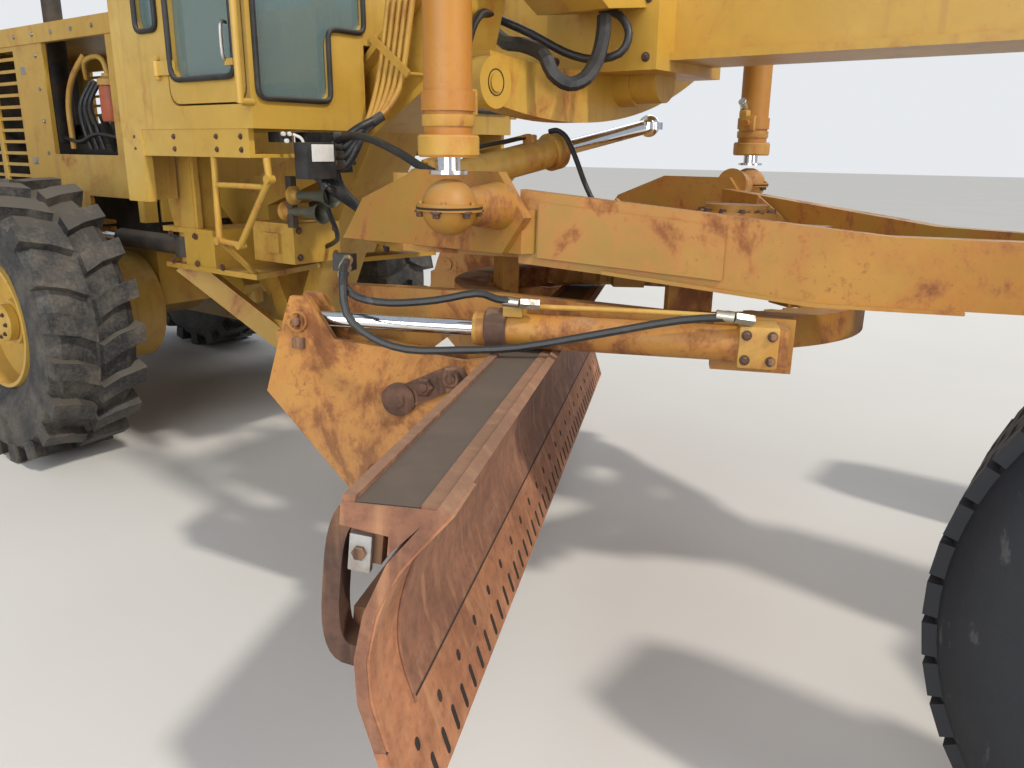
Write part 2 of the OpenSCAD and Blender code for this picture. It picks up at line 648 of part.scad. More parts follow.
module knuckle_left() { color("#c8982a") knuckle(1); }

// Drawbar: nose ball, A frame, plate, lift ball brackets and circle shoes
module drawbar_ball() {
  color("#8a8a86") place() translate([-ball_back, 0, ball_z]) sphere(r = 60);
}
module drawbar() {
  color("#d9a62e") drawbar_frame() {
    difference() {
      union() {
        both() drawbar_leg();
        flat_prism([[-1100, 560], [-2100, 900], [-2420, 760], [-2420, -760], [-2100, -900], [-1100,
          -560]], 90, 112);
        pin_z(0, 0, -75, 75, 110);
        flat_prism([[-700, 300], [-60, 100], [-60, -100], [-700, -300]], 10, 60);
      }
      sphere(r = ball_r + fit);
      box(25, 200, -200, 200, -200, 300);
      pin_z(0, 0, -200, 0, 50);
      pin_z(0, 0, 0, 200, 12);
    }
    both() pin_y(0, 0, 90, 128, 24);
    both() {
      side_prism([[-2400, 111], [-1700, 111], [-1620, 220], [-1720, 350], [-2050, 350], [-2300, 250]],
        850, 890);
      flat_prism([[-1620, 780], [-1820, 780], [-1790, 860], [-1650, 860]], 111, 240);
      side_prism([[-1500, 111], [-1250, 111], [-1480, 280]], 590, 606);
    }
    for (s = [-1, 1]) {
      b = lift_ball(s);
      translate([lift_x, s * 880, b[2]]) rotate([-s * 90, 0, 0]) cylinder(h = abs(b[1]) - 900, r1 = 72,
        r2 = 44);
      translate(b) intersection() {
        sphere(r = 78);
        cube([200, 200, 152], center = true);
      }
      translate(b) cylinder(h = 20, r = 92, center = true);
      for (i = [1:6]) translate(b) rotate(i * 60) translate([84, 0, 9]) cylinder(h = 8, r = 6);
    }
    pin_z(-1330, 0, 111, 235, 140);
    pin_z(-1330, 0, 234, 260, 112);
    for (i = [1:8]) translate([-1330, 0, 234]) rotate(i * 45) translate([126, 0, 0]) cylinder(h = 8, r = 9);
    box(-1330, -1010, -75, 75, 60, 200);
    pin_z(-1058, 0, -60, 61, 38);
    both() for (a = [52, 128]) translate([-circle_back, 0, 0]) rotate(a) {
      box(560, 618, -70, 70, -146, 91);
      box(560, 655, -70, 70, -146, -136);
    }
    shift_socket();
  }
}
// Side profile of one leg of the A frame with its flange and doubler plate
module drawbar_leg() {
  translate([-80, 95, 0]) rotate(156.6) {
    side_prism([[0, 48], [0, 205], [700, 205], [1760, 300], [1760, 80], [900, 10], [300, 10]], -40, 40);
    side_prism([[500, 2], [900, 2], [1500, 62], [1500, 72], [900, 12], [500, 12]], -70, 70);
    side_prism([[1150, 60], [1150, 215], [1700, 264], [1700, 100]], -52, -39);
  }
}
// Socket for the centre shift barrel's ball at the drawbar's rear right corner
module shift_socket() {
  x = shift_a[0] + ball_back;
  pin_z(x, shift_a[1], 100, shift_a[2] - ball_z - 135, 62);
  flat_prism([[x - 110, -760], [x + 110, -790], [x + 110, -600], [x - 110, -600]], 111, 150);
}

// Circle: ring with drop arms and pivot feet
module circle() {
  color("#d9a62e") circle_frame() {
    difference() {
      translate([0, 0, -42]) cylinder(h = 97, r = circle_r, $fn = 96);
      translate([0, 0, -60]) cylinder(h = 40, r = 690, $fn = 96);
      translate([0, 0, -60]) linear_extrude(200) polygon([for (i = [1:48]) for (q = tooth)
        [q[1] * cos(i * 7.5 + q[0]), q[1] * sin(i * 7.5 + q[0])]]);
    }
    both() side_prism(drop_arm, arm_in, arm_out);
    both() pin_y(pivot_n, pivot_z, arm_out - 10, 900, 30);
    both() pin_y(pivot_n, pivot_z, arm_out - 1, arm_out + 40, 75);
    side_prism([[200, -90], [430, -90], [430, 70], [200, 70]], -780, 10 - arm_out);
    pin_y(340, tip_z1, -900, -arm_out, 25);
  }
}
tooth = [[-2.4, 645], [-1.4, 625], [1.4, 625], [2.4, 645]];
drop_arm = [[-960, 92], [-960, -60], [-930, -480], [-860, -540], [-740, -540], [-690, -480], [-700,
  -120], [-600, -40],
  [430, -40], [430, 30], [200, 55], [-500, 92]];
module tip_bracket() {
  color("#c98a2c") circle_frame() difference() {
    union() {
      for (s = [0, 1]) mirror([0, s, 0]) {
        difference() {
          for (y = [785, 882]) side_prism(jaw_plate, y, y + 23);
          pin_y(pivot_n, pivot_z, 700, 910, 30 + fit);
          if (s == 0) pin_y(-600, -300, 700, 1000, 32);
        }
        for (y = [773, 904]) pin_y(eye_n, eye_z, y, y + 13, 32);
        box(-1130, -1100, 807, 883, -240, -40);
        for (q = jaw_pins) pin_y(q[0], q[1], 806, 884, q[2]);
        for (q = jaw_pins) pin_y(q[0], q[1], 904, 915, q[2] - 8);
      }
      pin_y(-600, -300, -1100, 450, 48);
    }
    // Bore of the side shift barrel, which is fixed to the right bracket
    pin_y(-600, -300, -1080, 500, 24 + fit);
  }
}
jaw_plate = [[-1090, 20], [-1070, 75], [-1010, 75], [-930, -50], [-520, -90], [-440, -75], [-440, -125],
  [-500, -190],
  [-462, -330], [-462, -375], [-560, -400], [-700, -560], [-880, -545], [-1160, -230]];
jaw_pins = [[-555, -140, 30], [-720, -220, 34]];

// Hoses clipped along the tip cylinder, with their fitting block
module tip_hoses() {
  color("#2a2c2e") circle_frame() {
    for (q = [0:1]) hose(tip_routes[q], 12);
    box(-960, -905, -830, -770, 150, 200);
  }
}
tip_routes = [
  [[-0.91, -0.84, 0.163], [-0.875, -0.95, 0.128], [-0.825, -0.97, 0.094], [-0.725, -0.97, 0.083], [-0.59,
    -0.965, 0.098],
    [-0.475, -0.95, 0.122], [-0.42, -0.93, 0.106], [-0.355, -0.92, 0.096]],
  [[-0.897, -0.86, 0.190], [-0.870, -0.97, 0.160], [-0.848, -1.00, 0.048], [-0.774, -1.0, -0.015],
    [-0.667, -1.0, -0.045],
    [-0.518, -0.985, -0.040], [-0.345, -0.965, -0.025], [-0.12, -0.94, 0.024], [0.10, -0.93, 0.075],
      [0.246, -0.92, 0.090]]];

// Blade: curved moldboard with rails, and its bolted cutting edge
module blade_frame() {
  circle_frame() translate([-300, blade_shift, -700]) rotate([0, 5, 0]) children();
}
module moldboard() {
  color("#7a4630") blade_frame() {
    side_prism([[-73, 170], [-110, 260], [-122, 340], [-112, 430], [-80, 520], [0, 638], [-20, 650],
      [-100, 530], [-134, 430],
      [-144, 340], [-132, 255], [-95, 165]], -blade_len / 2, blade_len / 2);
    side_prism([[-100, 545], [-22, 640], [-185, 625], [-185, 585], [-100, 580]], -blade_len / 2,
      blade_len / 2);
    box(-185, -140, -blade_len / 2 + 100, blade_len / 2 - 100, 330, 380);
  }
  // Side shift rod with its bracket on the back of the blade
  bracket_y = blade_len / 2 + blade_shift - 210;
  color("#7a4630") circle_frame() {
    pin_y(-600, -300, -500, bracket_y, 24);
    side_prism([[-650, -340], [-650, -260], [-560, -240], [-450, -310], [-450, -350], [-560, -370]],
      bracket_y - 40, bracket_y);
  }
}
module cutting_edge() {
  color("#6c3d2a") blade_frame() side_prism([[-73, 169], [-95, 164], [-30, -4], [0, 0]], -blade_len / 2,
    blade_len / 2);
}

// Lift cylinders hang from trunnions on the lift arms
module lift_barrel(s) {
  place() translate([lift_x - ball_back, s * lift_y, 0]) difference() {
    union() {
      pin_z(0, 0, 1520, 2760, lift_r);
      pin_z(0, 0, 1520, 1580, lift_r + 14);
      pin_z(0, 0, 1640, 1690, lift_r + 7);
      pin_z(0, 0, lift_top_z - 45, lift_top_z + 45, lift_r + 20);
      pin_z(0, 0, 2740, 2775, lift_r + 8);
      pin_x(0, lift_top_z, -140, 140, 26);
      pin_y(0, 1665, s < 0 ? lift_r : -lift_r - 40, s < 0 ? lift_r + 40 : -lift_r, 16);
    }
    pin_z(0, 0, 1400, 2720, lift_rod_r + fit);
  }
}
module lift_rod(s) {
  place() translate([lift_x - ball_back, s * lift_y, 0]) {
    pin_z(0, 0, ball_z + lift_ball_z + 90, 2650, lift_rod_r);
    pin_z(0, 0, ball_z + lift_ball_z + 90, ball_z + lift_ball_z + 100, lift_rod_r + 22);
  }
}
module lift_barrel_right() { color("#cf8a35") lift_barrel(-1); }
module lift_barrel_left() { color("#cf8a35") lift_barrel(1); }
module lift_rod_right() { color("#c9ccd0") lift_rod(-1); }
module lift_rod_left() { color("#c9ccd0") lift_rod(1); }
module shift_barrel() {
  color("#d9a62e") place() {
    along(shift_a, shift_b) difference() {
      union() {
        cylinder(h = 700, r = shift_r);
        translate([0, 0, 640]) cylinder(h = 62, r = shift_r + 10);
        translate([0, 0, 40]) cylinder(h = 30, r = shift_r + 8);
        translate([-shift_r - 22, 0, 80]) cylinder(h = 480, r = 9);
        for (z = [100, 540]) translate([-shift_r - 30, -14, z]) cube([40, 28, 22]);
      }
      translate([0, 0, 60]) cylinder(h = 700, r = shift_rod_r + fit);
    }
    pin_z(shift_a[0], shift_a[1], shift_a[2] - 100, shift_a[2] + 60, 50);
  }
}
module shift_rod() {
  color("#c9ccd0") place() {
    along(shift_a, shift_b) translate([0, 0, 350]) cylinder(h = norm(shift_b - shift_a) - 350,
      r = shift_rod_r);
    translate(shift_b) sphere(r = 46);
    pin_z(shift_b[0], shift_b[1], shift_b[2] - 14, shift_b[2] + 14, 58);
  }
}
module tip_barrel() {
  color("#8a4a30") circle_frame() difference() {
    union() {
      along([340, -845, tip_z1], [eye_n, -845, eye_z]) translate([0, 0, -30]) cylinder(h = 860, r = tip_r);
      box(300, 400, -893, -797, tip_z1 - 52, tip_z1 + 52);
    }
    along([340, -845, tip_z1], [eye_n, -845, eye_z]) translate([0, 0, 70]) cylinder(h = 900,
      r = tip_rod_r + fit);
    pin_y(340, tip_z1, -1000, -700, 25 + fit);
  }
}
module tip_rod() {
  color("#c9ccd0") circle_frame() {
    along([340, -845, tip_z1], [eye_n, -845, eye_z]) translate([0, 0,
      450]) cylinder(h = norm([eye_n - 340, eye_z - tip_z1]) - 460, r = tip_rod_r);
    pin_y(eye_n, eye_z, -875, -815, 46);
  }
}
module artic_barrel(s) {
  place() mirror([0, s < 0 ? 1 : 0, 0]) difference() {
    union() {
      rod([artic_front_x, artic_front_y, artic_z], [-4870, 512.2, artic_z], artic_r);
      pin_z(artic_front_x, artic_front_y, artic_z - 49, artic_z + 49, 50);
    }
    rod([-4330, 532.2, artic_z], [-5200, 500, artic_z], artic_rod_r + fit);
    pin_z(artic_front_x, artic_front_y, 900, 1200, 25 + fit);
  }
}
module artic_rod(s) {
  place() mirror([0, s < 0 ? 1 : 0, 0]) {
    rod([-4560, 523.7, artic_z], [-5190, 500.4, artic_z], artic_rod_r);
    pin_z(artic_rear_x, artic_rear_y, artic_z - 42, artic_z + 42, 42);
  }
}
module artic_barrel_right() { color("#d9a62e") artic_barrel(-1); }
module artic_barrel_left() { color("#d9a62e") artic_barrel(1); }
module artic_rod_right() { color("#c9ccd0") artic_rod(-1); }
module artic_rod_left() { color("#c9ccd0") artic_rod(1); }

rear_frame();
hood();
engine();
tyre_rear_1_right();
rim_rear_1_right();
tyre_rear_1_left();
rim_rear_1_left();
tyre_rear_2_right();
rim_rear_2_right();
tyre_rear_2_left();
rim_rear_2_left();
front_frame();
cab_shell();
cab_glass();
cab_interior();
door_right();
door_left();
valve_bank();
front_axle();
yoke_right();
yoke_left();
knuckle_right();
knuckle_left();
tyre_front_right();
rim_front_right();
tyre_front_left();
rim_front_left();
drawbar_ball();
drawbar();
circle();
tip_bracket();
moldboard();
cutting_edge();
tip_hoses();
lift_barrel_right();
lift_barrel_left();
lift_rod_right();
lift_rod_left();
shift_barrel();
shift_rod();
tip_barrel();
tip_rod();
artic_barrel_right();
artic_barrel_left();
artic_rod_right();
artic_rod_left();
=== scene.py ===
"""Looks of the motor grader: finishes, hoses, fasteners, glazing, floor, light and camera."""
import logging
import math
from collections.abc import Sequence
from dataclasses import dataclass
from enum import Enum

import bmesh
import bpy
from mathutils import Matrix, Vector

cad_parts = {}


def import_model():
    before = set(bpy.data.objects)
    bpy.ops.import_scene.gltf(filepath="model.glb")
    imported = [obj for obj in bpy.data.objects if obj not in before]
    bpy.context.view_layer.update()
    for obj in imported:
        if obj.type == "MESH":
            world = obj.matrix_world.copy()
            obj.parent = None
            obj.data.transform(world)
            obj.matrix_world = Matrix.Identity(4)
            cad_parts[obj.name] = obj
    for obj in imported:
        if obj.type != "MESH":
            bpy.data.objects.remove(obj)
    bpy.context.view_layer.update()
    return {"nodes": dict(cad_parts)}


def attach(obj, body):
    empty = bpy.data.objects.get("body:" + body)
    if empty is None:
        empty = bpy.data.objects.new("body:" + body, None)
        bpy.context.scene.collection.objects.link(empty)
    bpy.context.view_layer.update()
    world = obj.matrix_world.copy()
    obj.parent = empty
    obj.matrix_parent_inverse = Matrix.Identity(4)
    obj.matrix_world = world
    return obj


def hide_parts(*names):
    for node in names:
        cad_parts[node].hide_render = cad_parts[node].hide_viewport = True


LOG = logging.getLogger("grader")
# Short names for types
Colour = tuple[float, float, float]
Point = Sequence[float]
Profile = Sequence[tuple[float, float]]
Socket = bpy.types.NodeSocket
Ring = list[bmesh.types.BMVert]
Faces = list[bmesh.types.BMFace]

# Frames of the machine in metres, X forward, Y left and Z up, and the circle's middle on the drawbar
MOVE = Vector((3.3, 0.33, 0.0))
CIRCLE_X = -1.64
MACHINE = Matrix.Translation(MOVE)
DRAWBAR = Matrix.Translation(MOVE + Vector((-0.3, 0.0, 1.1))) @ Matrix.Rotation(math.radians(-1.8), 4, "X")
CIRCLE = DRAWBAR @ Matrix.Translation((CIRCLE_X, 0.0, -0.11)) @ Matrix.Rotation(math.radians(25.7), 4, "Z")
BLADE = CIRCLE @ Matrix.Translation((-0.3, -0.24, -0.7)) @ Matrix.Rotation(math.radians(5), 4, "Y")
# Height and half track of the axles, and where the tandem axles lie behind the front one
AXLE_Z = 0.69
TRACK = 1.03
REAR_AXLES = (-4.9, -6.42)
# Where the blade lift cylinders stand: X from the front axle, and Y to either side
LIFT_X = -2.02
LIFT_Y = 1.10
# Directions that fasteners and turned forms face
UP = (0, 0, 1)
DOWN = (0, 0, -1)
AHEAD = (1, 0, 0)
ASTERN = (-1, 0, 0)
RIGHTWARD = (0, -1, 0)
# Default way of an element's own X axis, askew to every face of the machine
ASKEW = (0.31, 0.17, 0.93)
# Seed of the bolts' chance turns
SEED = 7
# Colours of rust and dirt that the paints share
RUST_DARK = (0.13, 0.042, 0.016)
RUST_LIGHT = (0.30, 0.115, 0.035)
RUST_WASH = (0.47, 0.215, 0.035)
RUST_STAIN = (0.40, 0.15, 0.028)
RUST_RUN = (0.34, 0.17, 0.05)
TOP_DUST = (0.36, 0.29, 0.19)
LOW_DIRT = (0.25, 0.185, 0.11)


class Side(Enum):
    """Sides of the machine, with the sign of Y."""

    RIGHT = -1
    LEFT = 1

    @property
    def out(self) -> tuple[float, float, float]:
        """The direction away from the machine's middle."""
        return (0, self.value, 0)

    @property
    def label(self) -> str:
        """The side's name as the pieces carry it."""
        return self.name.lower()


class Graph:
    """A material's node tree, with short calls for what the finishes share."""

    def __init__(self, name: str) -> None:
        """Start an empty material.

        Args:
            name: The material's name.
        """
        self.material = bpy.data.materials.new(name)
        self.material.use_nodes = True
        self.tree = self.material.node_tree
        self.tree.nodes.clear()
        self.output = self.tree.nodes.new("ShaderNodeOutputMaterial")
        self.coords = self.tree.nodes.new("ShaderNodeTexCoord").outputs["Object"]

    def link(self, source: Socket, target: Socket) -> None:
        """Join two sockets."""
        self.tree.links.new(source, target)

    def feed(self, value: object, socket: Socket) -> None:
        """Set a socket to a number or colour, or link it to another socket.

        Args:
            value: A socket, a number or a colour.
            socket: The input that takes it.
        """
        if isinstance(value, Socket):
            self.link(value, socket)
        elif isinstance(value, (tuple, list)):
            socket.default_value = (*value, 1.0)[:4]
        else:
            socket.default_value = value

    def place(self, scale: Point) -> Socket:
        """Object coordinates, stretched.

        Args:
            scale: Factor along each axis.

        Returns:
            The changed coordinates.
        """
        node = self.tree.nodes.new("ShaderNodeMapping")
        node.inputs["Scale"].default_value = scale
        self.link(self.coords, node.inputs["Vector"])
        return node.outputs["Vector"]

    def noise(self, scale: float, detail: float = 5.0, rough: float = 0.6, squeeze: Point = (1, 1, 1),
              warp: float = 0.0) -> Socket:
        """A noise pattern on object coordinates.

        Args:
            scale: Patterns in a metre.
            detail: Number of finer layers.
            rough: Strength of the finer layers.
            squeeze: Stretch along each axis.
            warp: Distortion of the pattern.

        Returns:
            The noise from 0 to 1.
        """
        node = self.tree.nodes.new("ShaderNodeTexNoise")
        node.inputs["Scale"].default_value = scale
        node.inputs["Detail"].default_value = detail
        node.inputs["Roughness"].default_value = rough
        node.inputs["Distortion"].default_value = warp
        self.link(self.place(squeeze), node.inputs["Vector"])
        return node.outputs["Fac"]

    def step(self, value: Socket, low: float, high: float, top: float = 1.0) -> Socket:
        """A smooth threshold.

        Args:
            value: The number tested.
            low: Where the result starts to rise.
            high: Where it reaches the top.
            top: The highest result.

        Returns:
            The result from 0 to top.
        """
        node = self.tree.nodes.new("ShaderNodeMapRange")
        node.interpolation_type = "SMOOTHSTEP"
        node.inputs["From Min"].default_value = low
        node.inputs["From Max"].default_value = high
        node.inputs["To Max"].default_value = top
        self.link(value, node.inputs["Value"])
        return node.outputs["Result"]

    def calc(self, kind: str, first: object, second: object) -> Socket:
        """A sum, product or other plain operation, kept between 0 and 1.

        Args:
            kind: The Math node's operation.
            first: First number or socket.
            second: Second number or socket.

        Returns:
            The result.
        """
        node = self.tree.nodes.new("ShaderNodeMath")
        node.operation = kind
        node.use_clamp = True
        self.feed(first, node.inputs[0])
        self.feed(second, node.inputs[1])
        return node.outputs[0]

    def times(self, first: object, second: object) -> Socket:
        """The product of two numbers or sockets, kept between 0 and 1."""
        return self.calc("MULTIPLY", first, second)

    def mix(self, amount: object, first: object, second: object) -> Socket:
        """A mix of two colours.

        Args:
            amount: Share of the second colour.
            first: First colour or socket.
            second: Second colour or socket.

        Returns:
            The mixed colour.
        """
        node = self.tree.nodes.new("ShaderNodeMix")
        node.data_type = "RGBA"
        self.feed(amount, node.inputs["Factor"])
        self.feed(first, node.inputs["A"])
        self.feed(second, node.inputs["B"])
        return node.outputs["Result"]

    def facing_up(self, low: float = 0.3, high: float = 0.95) -> Socket:
        """How far a surface faces upwards, for dust that settles on it.

        Args:
            low: Upward share where it starts.
            high: Upward share where it is full.

        Returns:
            The amount from 0 to 1.
        """
        geometry = self.tree.nodes.new("ShaderNodeNewGeometry")
        parts = self.tree.nodes.new("ShaderNodeSeparateXYZ")
        self.link(geometry.outputs["Normal"], parts.inputs[0])
        return self.step(parts.outputs["Z"], low, high)

    def height(self) -> Socket:
        """The height over the ground.

        Returns:
            The height in metres.
        """
        parts = self.tree.nodes.new("ShaderNodeSeparateXYZ")
        self.link(self.coords, parts.inputs[0])
        return parts.outputs["Z"]

    def shade(self, colour: object, rough: object, metal: object = 0.0, relief: Socket | None = None,
              depth: float = 0.002, strength: float = 0.5, **extra: float) -> bpy.types.Material:
        """End the tree in one shader.

        Args:
            colour: Base colour.
            rough: Roughness.
            metal: Metallic share.
            relief: Height pattern for the bump.
            depth: Height of the relief in metres.
            strength: Strength of the relief.
            extra: Other shader inputs by name, with underscores for spaces.

        Returns:
            The finished material.
        """
        shader = self.tree.nodes.new("ShaderNodeBsdfPrincipled")
        self.feed(colour, shader.inputs["Base Color"])
        self.feed(rough, shader.inputs["Roughness"])
        self.feed(metal, shader.inputs["Metallic"])
        for name, value in extra.items():
            shader.inputs[name.replace("_", " ")].default_value = value
        if relief is not None:
            bump = self.tree.nodes.new("ShaderNodeBump")
            bump.inputs["Strength"].default_value = strength
            bump.inputs["Distance"].default_value = depth
            self.link(relief, bump.inputs["Height"])
            self.link(bump.outputs["Normal"], shader.inputs["Normal"])
        self.link(shader.outputs[0], self.output.inputs["Surface"])
        return self.material


@dataclass(frozen=True)
class Paint:
    """Faded machine paint with rust patches, chips, run-down streaks and dust.

    Attributes:
        base: Colour of the paint.
        faded: Colour of its sun-bleached areas.
        rust: Share of rust, 0 for none and 1 for most of the surface.
        gloss: Roughness of sound paint.
    """

    base: Colour
    faded: Colour
    rust: float = 0.3
    gloss: float = 0.42

    def build(self, name: str) -> bpy.types.Material:
        """Make the material.

        Args:
            name: The material's name.

        Returns:
            The material.
        """
        g = Graph(name)
        colour = self._sound(g)
        edge = 0.70 - 0.2 * self.rust
        patch = g.noise(4.6, 9, 0.72, (1, 1, 0.7), 0.35)
        stain = g.step(patch, edge - 0.14, edge + 0.03)
        start = 0.62 - 0.3 * self.rust
        wash = g.step(g.noise(1.9, 6, 0.62), start, start + 0.24, 0.25 + 0.5 * self.rust)
        colour = g.mix(wash, colour, RUST_WASH)
        colour = g.mix(g.times(stain, 0.7), colour, RUST_STAIN)
        rust = self._bare(g, patch, edge, wash)
        colour = g.mix(rust, colour, g.mix(g.noise(34.0, 6), RUST_DARK, RUST_LIGHT))
        dust = g.times(g.facing_up(), g.step(g.noise(5.0, 5), 0.3, 0.8, 0.5))
        colour = g.mix(dust, colour, TOP_DUST)
        colour = g.mix(g.step(g.height(), 1.1, 0.25, 0.3), colour, LOW_DIRT)
        rough = g.calc("ADD", self.gloss, g.times(g.calc("MAXIMUM", rust, dust), 0.4))
        return g.shade(colour, rough, 0.0, g.times(g.noise(90.0, 3), 0.12), 0.0016, 0.5)

    def _sound(self, g: Graph) -> Socket:
        """Sound paint: faded areas, mottling, and streaks of run-down rust.

        Args:
            g: The material's node tree.

        Returns:
            The colour.
        """
        fade = g.step(g.noise(0.9, 4), 0.35, 0.7)
        mottle = g.step(g.noise(7.0, 6, 0.65), 0.3, 0.75, 0.5)
        colour = g.mix(fade, self.base, self.faded)
        colour = g.mix(mottle, colour, tuple(c * 0.8 for c in self.base))
        lines = g.step(g.noise(26.0, 3, 0.5, (1, 1, 0.06)), 0.52, 0.74)
        streak = g.times(lines, g.step(g.noise(1.6, 2), 0.4, 0.62))
        return g.mix(g.times(streak, 0.5), colour, RUST_RUN)

    def _bare(self, g: Graph, patch: Socket, edge: float, wash: Socket) -> Socket:
        """Where bare rust shows: patches, specks in the washed areas, and chips.

        Args:
            g: The material's node tree.
            patch: The pattern of the patches.
            edge: Value of that pattern at a patch's edge.
            wash: The share of rust wash, which gathers the specks.

        Returns:
            The amount from 0 to 1.
        """
        specks = g.step(g.noise(27.0, 9, 0.76), 0.53, 0.66, 0.9)
        specks = g.times(specks, g.times(wash, 1.15))
        rust = g.calc("MAXIMUM", g.step(patch, edge - 0.03, edge + 0.09), specks)
        chips = g.step(g.noise(62.0, 4, 0.6), 0.755 - 0.08 * self.rust, 0.78 - 0.08 * self.rust)
        return g.calc("MAXIMUM", rust, g.times(chips, 0.85))


@dataclass(frozen=True)
class RustedSteel:
    """Bare plate gone to red brown rust, with scale, runs and scuffed bright spots.

    Attributes:
        dark: Colour of the deepest rust.
        light: Colour of the fresh rust.
        scuff: Share of polished, scraped steel.
    """

    RUNS = (0.46, 0.235, 0.115)
    SCRAPED = (0.34, 0.26, 0.21)
    DUST = (0.29, 0.185, 0.115)

    dark: Colour
    light: Colour
    scuff: float = 0.2

    def build(self, name: str) -> bpy.types.Material:
        """Make the material.

        Args:
            name: The material's name.

        Returns:
            The material.
        """
        g = Graph(name)
        cloud = g.noise(2.3, 7, 0.66, (1, 1, 1.4), 0.3)
        grain = g.noise(38.0, 7, 0.7)
        colour = g.mix(g.step(cloud, 0.3, 0.7), self.dark, self.light)
        colour = g.mix(g.step(grain, 0.35, 0.75, 0.55), colour, tuple(c * 0.52 for c in self.dark))
        runs = g.step(g.noise(19.0, 4, 0.55, (1, 1, 0.09)), 0.5, 0.72, 0.5)
        colour = g.mix(runs, colour, self.RUNS)
        lines = g.step(g.noise(11.0, 6, 0.7, (0.25, 0.25, 2.0)), 0.6, 0.7)
        scrape = g.times(lines, g.step(g.noise(1.3, 2), 0.42, 0.62))
        scrape = g.times(scrape, self.scuff)
        colour = g.mix(scrape, colour, self.SCRAPED)
        colour = g.mix(g.times(g.facing_up(), 0.45), colour, self.DUST)
        rough = g.calc("SUBTRACT", 0.82, g.times(scrape, 0.8))
        relief = g.calc("ADD", g.times(grain, 0.5), g.times(cloud, 0.5))
        return g.shade(colour, rough, g.times(scrape, 0.8), relief, 0.003, 0.6)


@dataclass(frozen=True)
class Rubber:
    """Tyre or hose rubber, greyed by a film of dust that is thickest on top.

    Attributes:
        base: Colour of clean rubber.
        dust: Colour of the dust.
        amount: Share of dust.
        sheen: Roughness of clean rubber.
    """

    SCUFFED = (0.16, 0.155, 0.15)

    base: Colour
    dust: Colour
    amount: float = 0.4
    sheen: float = 0.6

    def build(self, name: str) -> bpy.types.Material:
        """Make the material.

        Args:
            name: The material's name.

        Returns:
            The material.
        """
        g = Graph(name)
        cloud = g.step(g.noise(6.0, 7, 0.68), 0.36, 0.72)
        fine = g.step(g.noise(70.0, 4), 0.4, 0.7)
        film = g.calc("ADD", g.times(cloud, 0.75), g.times(fine, 0.3))
        film = g.times(film, self.amount)
        film = g.calc("MAXIMUM", film, g.times(g.facing_up(0.5, 1.0), self.amount * 0.8))
        colour = g.mix(film, self.base, self.dust)
        scuff = g.step(g.noise(24.0, 6, 0.6, (1, 1, 0.4)), 0.62, 0.7, 0.22)
        colour = g.mix(scuff, colour, self.SCUFFED)
        rough = g.calc("ADD", self.sheen, g.times(film, 0.35))
        return g.shade(colour, rough, 0.0, g.noise(120.0, 4), 0.0012, 0.35)


@dataclass(frozen=True)
class Bright:
    """Metal that is kept clean by use: chrome rods, fittings and handles.

    Attributes:
        base: Colour of the metal.
        rough: Roughness of clean metal.
        stain: Share of dull stains.
    """

    STAIN = (0.33, 0.24, 0.16)

    base: Colour
    rough: float = 0.14
    stain: float = 0.2

    def build(self, name: str) -> bpy.types.Material:
        """Make the material.

        Args:
            name: The material's name.

        Returns:
            The material.
        """
        g = Graph(name)
        wipe = g.step(g.noise(14.0, 6, 0.62, (1, 1, 0.5)), 0.5, 0.72, self.stain)
        colour = g.mix(wipe, self.base, self.STAIN)
        rough = g.calc("ADD", self.rough, g.times(wipe, 0.9))
        return g.shade(colour, rough, 1.0, g.noise(160.0, 2), 0.0003, 0.2)


@dataclass(frozen=True)
class Glass:
    """Tinted safety glass with a dusty film.

    Attributes:
        tint: Colour of the glass.
    """

    FILM = (0.42, 0.44, 0.42)

    tint: Colour

    def build(self, name: str) -> bpy.types.Material:
        """Make the material.

        Args:
            name: The material's name.

        Returns:
            The material.
        """
        g = Graph(name)
        film = g.step(g.noise(3.0, 5, 0.6, (1, 1, 0.5)), 0.4, 0.8, 0.16)
        colour = g.mix(film, self.tint, self.FILM)
        return g.shade(colour, g.calc("ADD", 0.03, film), 0.0, None, Transmission_Weight=0.62, IOR=1.6)


@dataclass(frozen=True)
class Dull:
    """Oily iron, gaskets, seat vinyl, plastic and plates: one colour, worn and dusted.

    Attributes:
        base: Main colour.
        worn: Colour of the dust and wear on it.
        rough: Roughness.
        metal: Metallic share.
        grain: Patterns of the fine grain in a metre.
    """

    DUST = (0.27, 0.22, 0.16)

    base: Colour
    worn: Colour
    rough: float = 0.7
    metal: float = 0.0
    grain: float = 80.0

    def build(self, name: str) -> bpy.types.Material:
        """Make the material.

        Args:
            name: The material's name.

        Returns:
            The material.
        """
        g = Graph(name)
        cloud = g.step(g.noise(8.0, 7, 0.66), 0.4, 0.7, 0.7)
        colour = g.mix(cloud, self.base, self.worn)
        colour = g.mix(g.times(g.facing_up(), 0.3), colour, self.DUST)
        rough = g.calc("ADD", self.rough, g.times(cloud, 0.15))
        return g.shade(colour, rough, self.metal, g.noise(self.grain, 4), 0.001, 0.4)


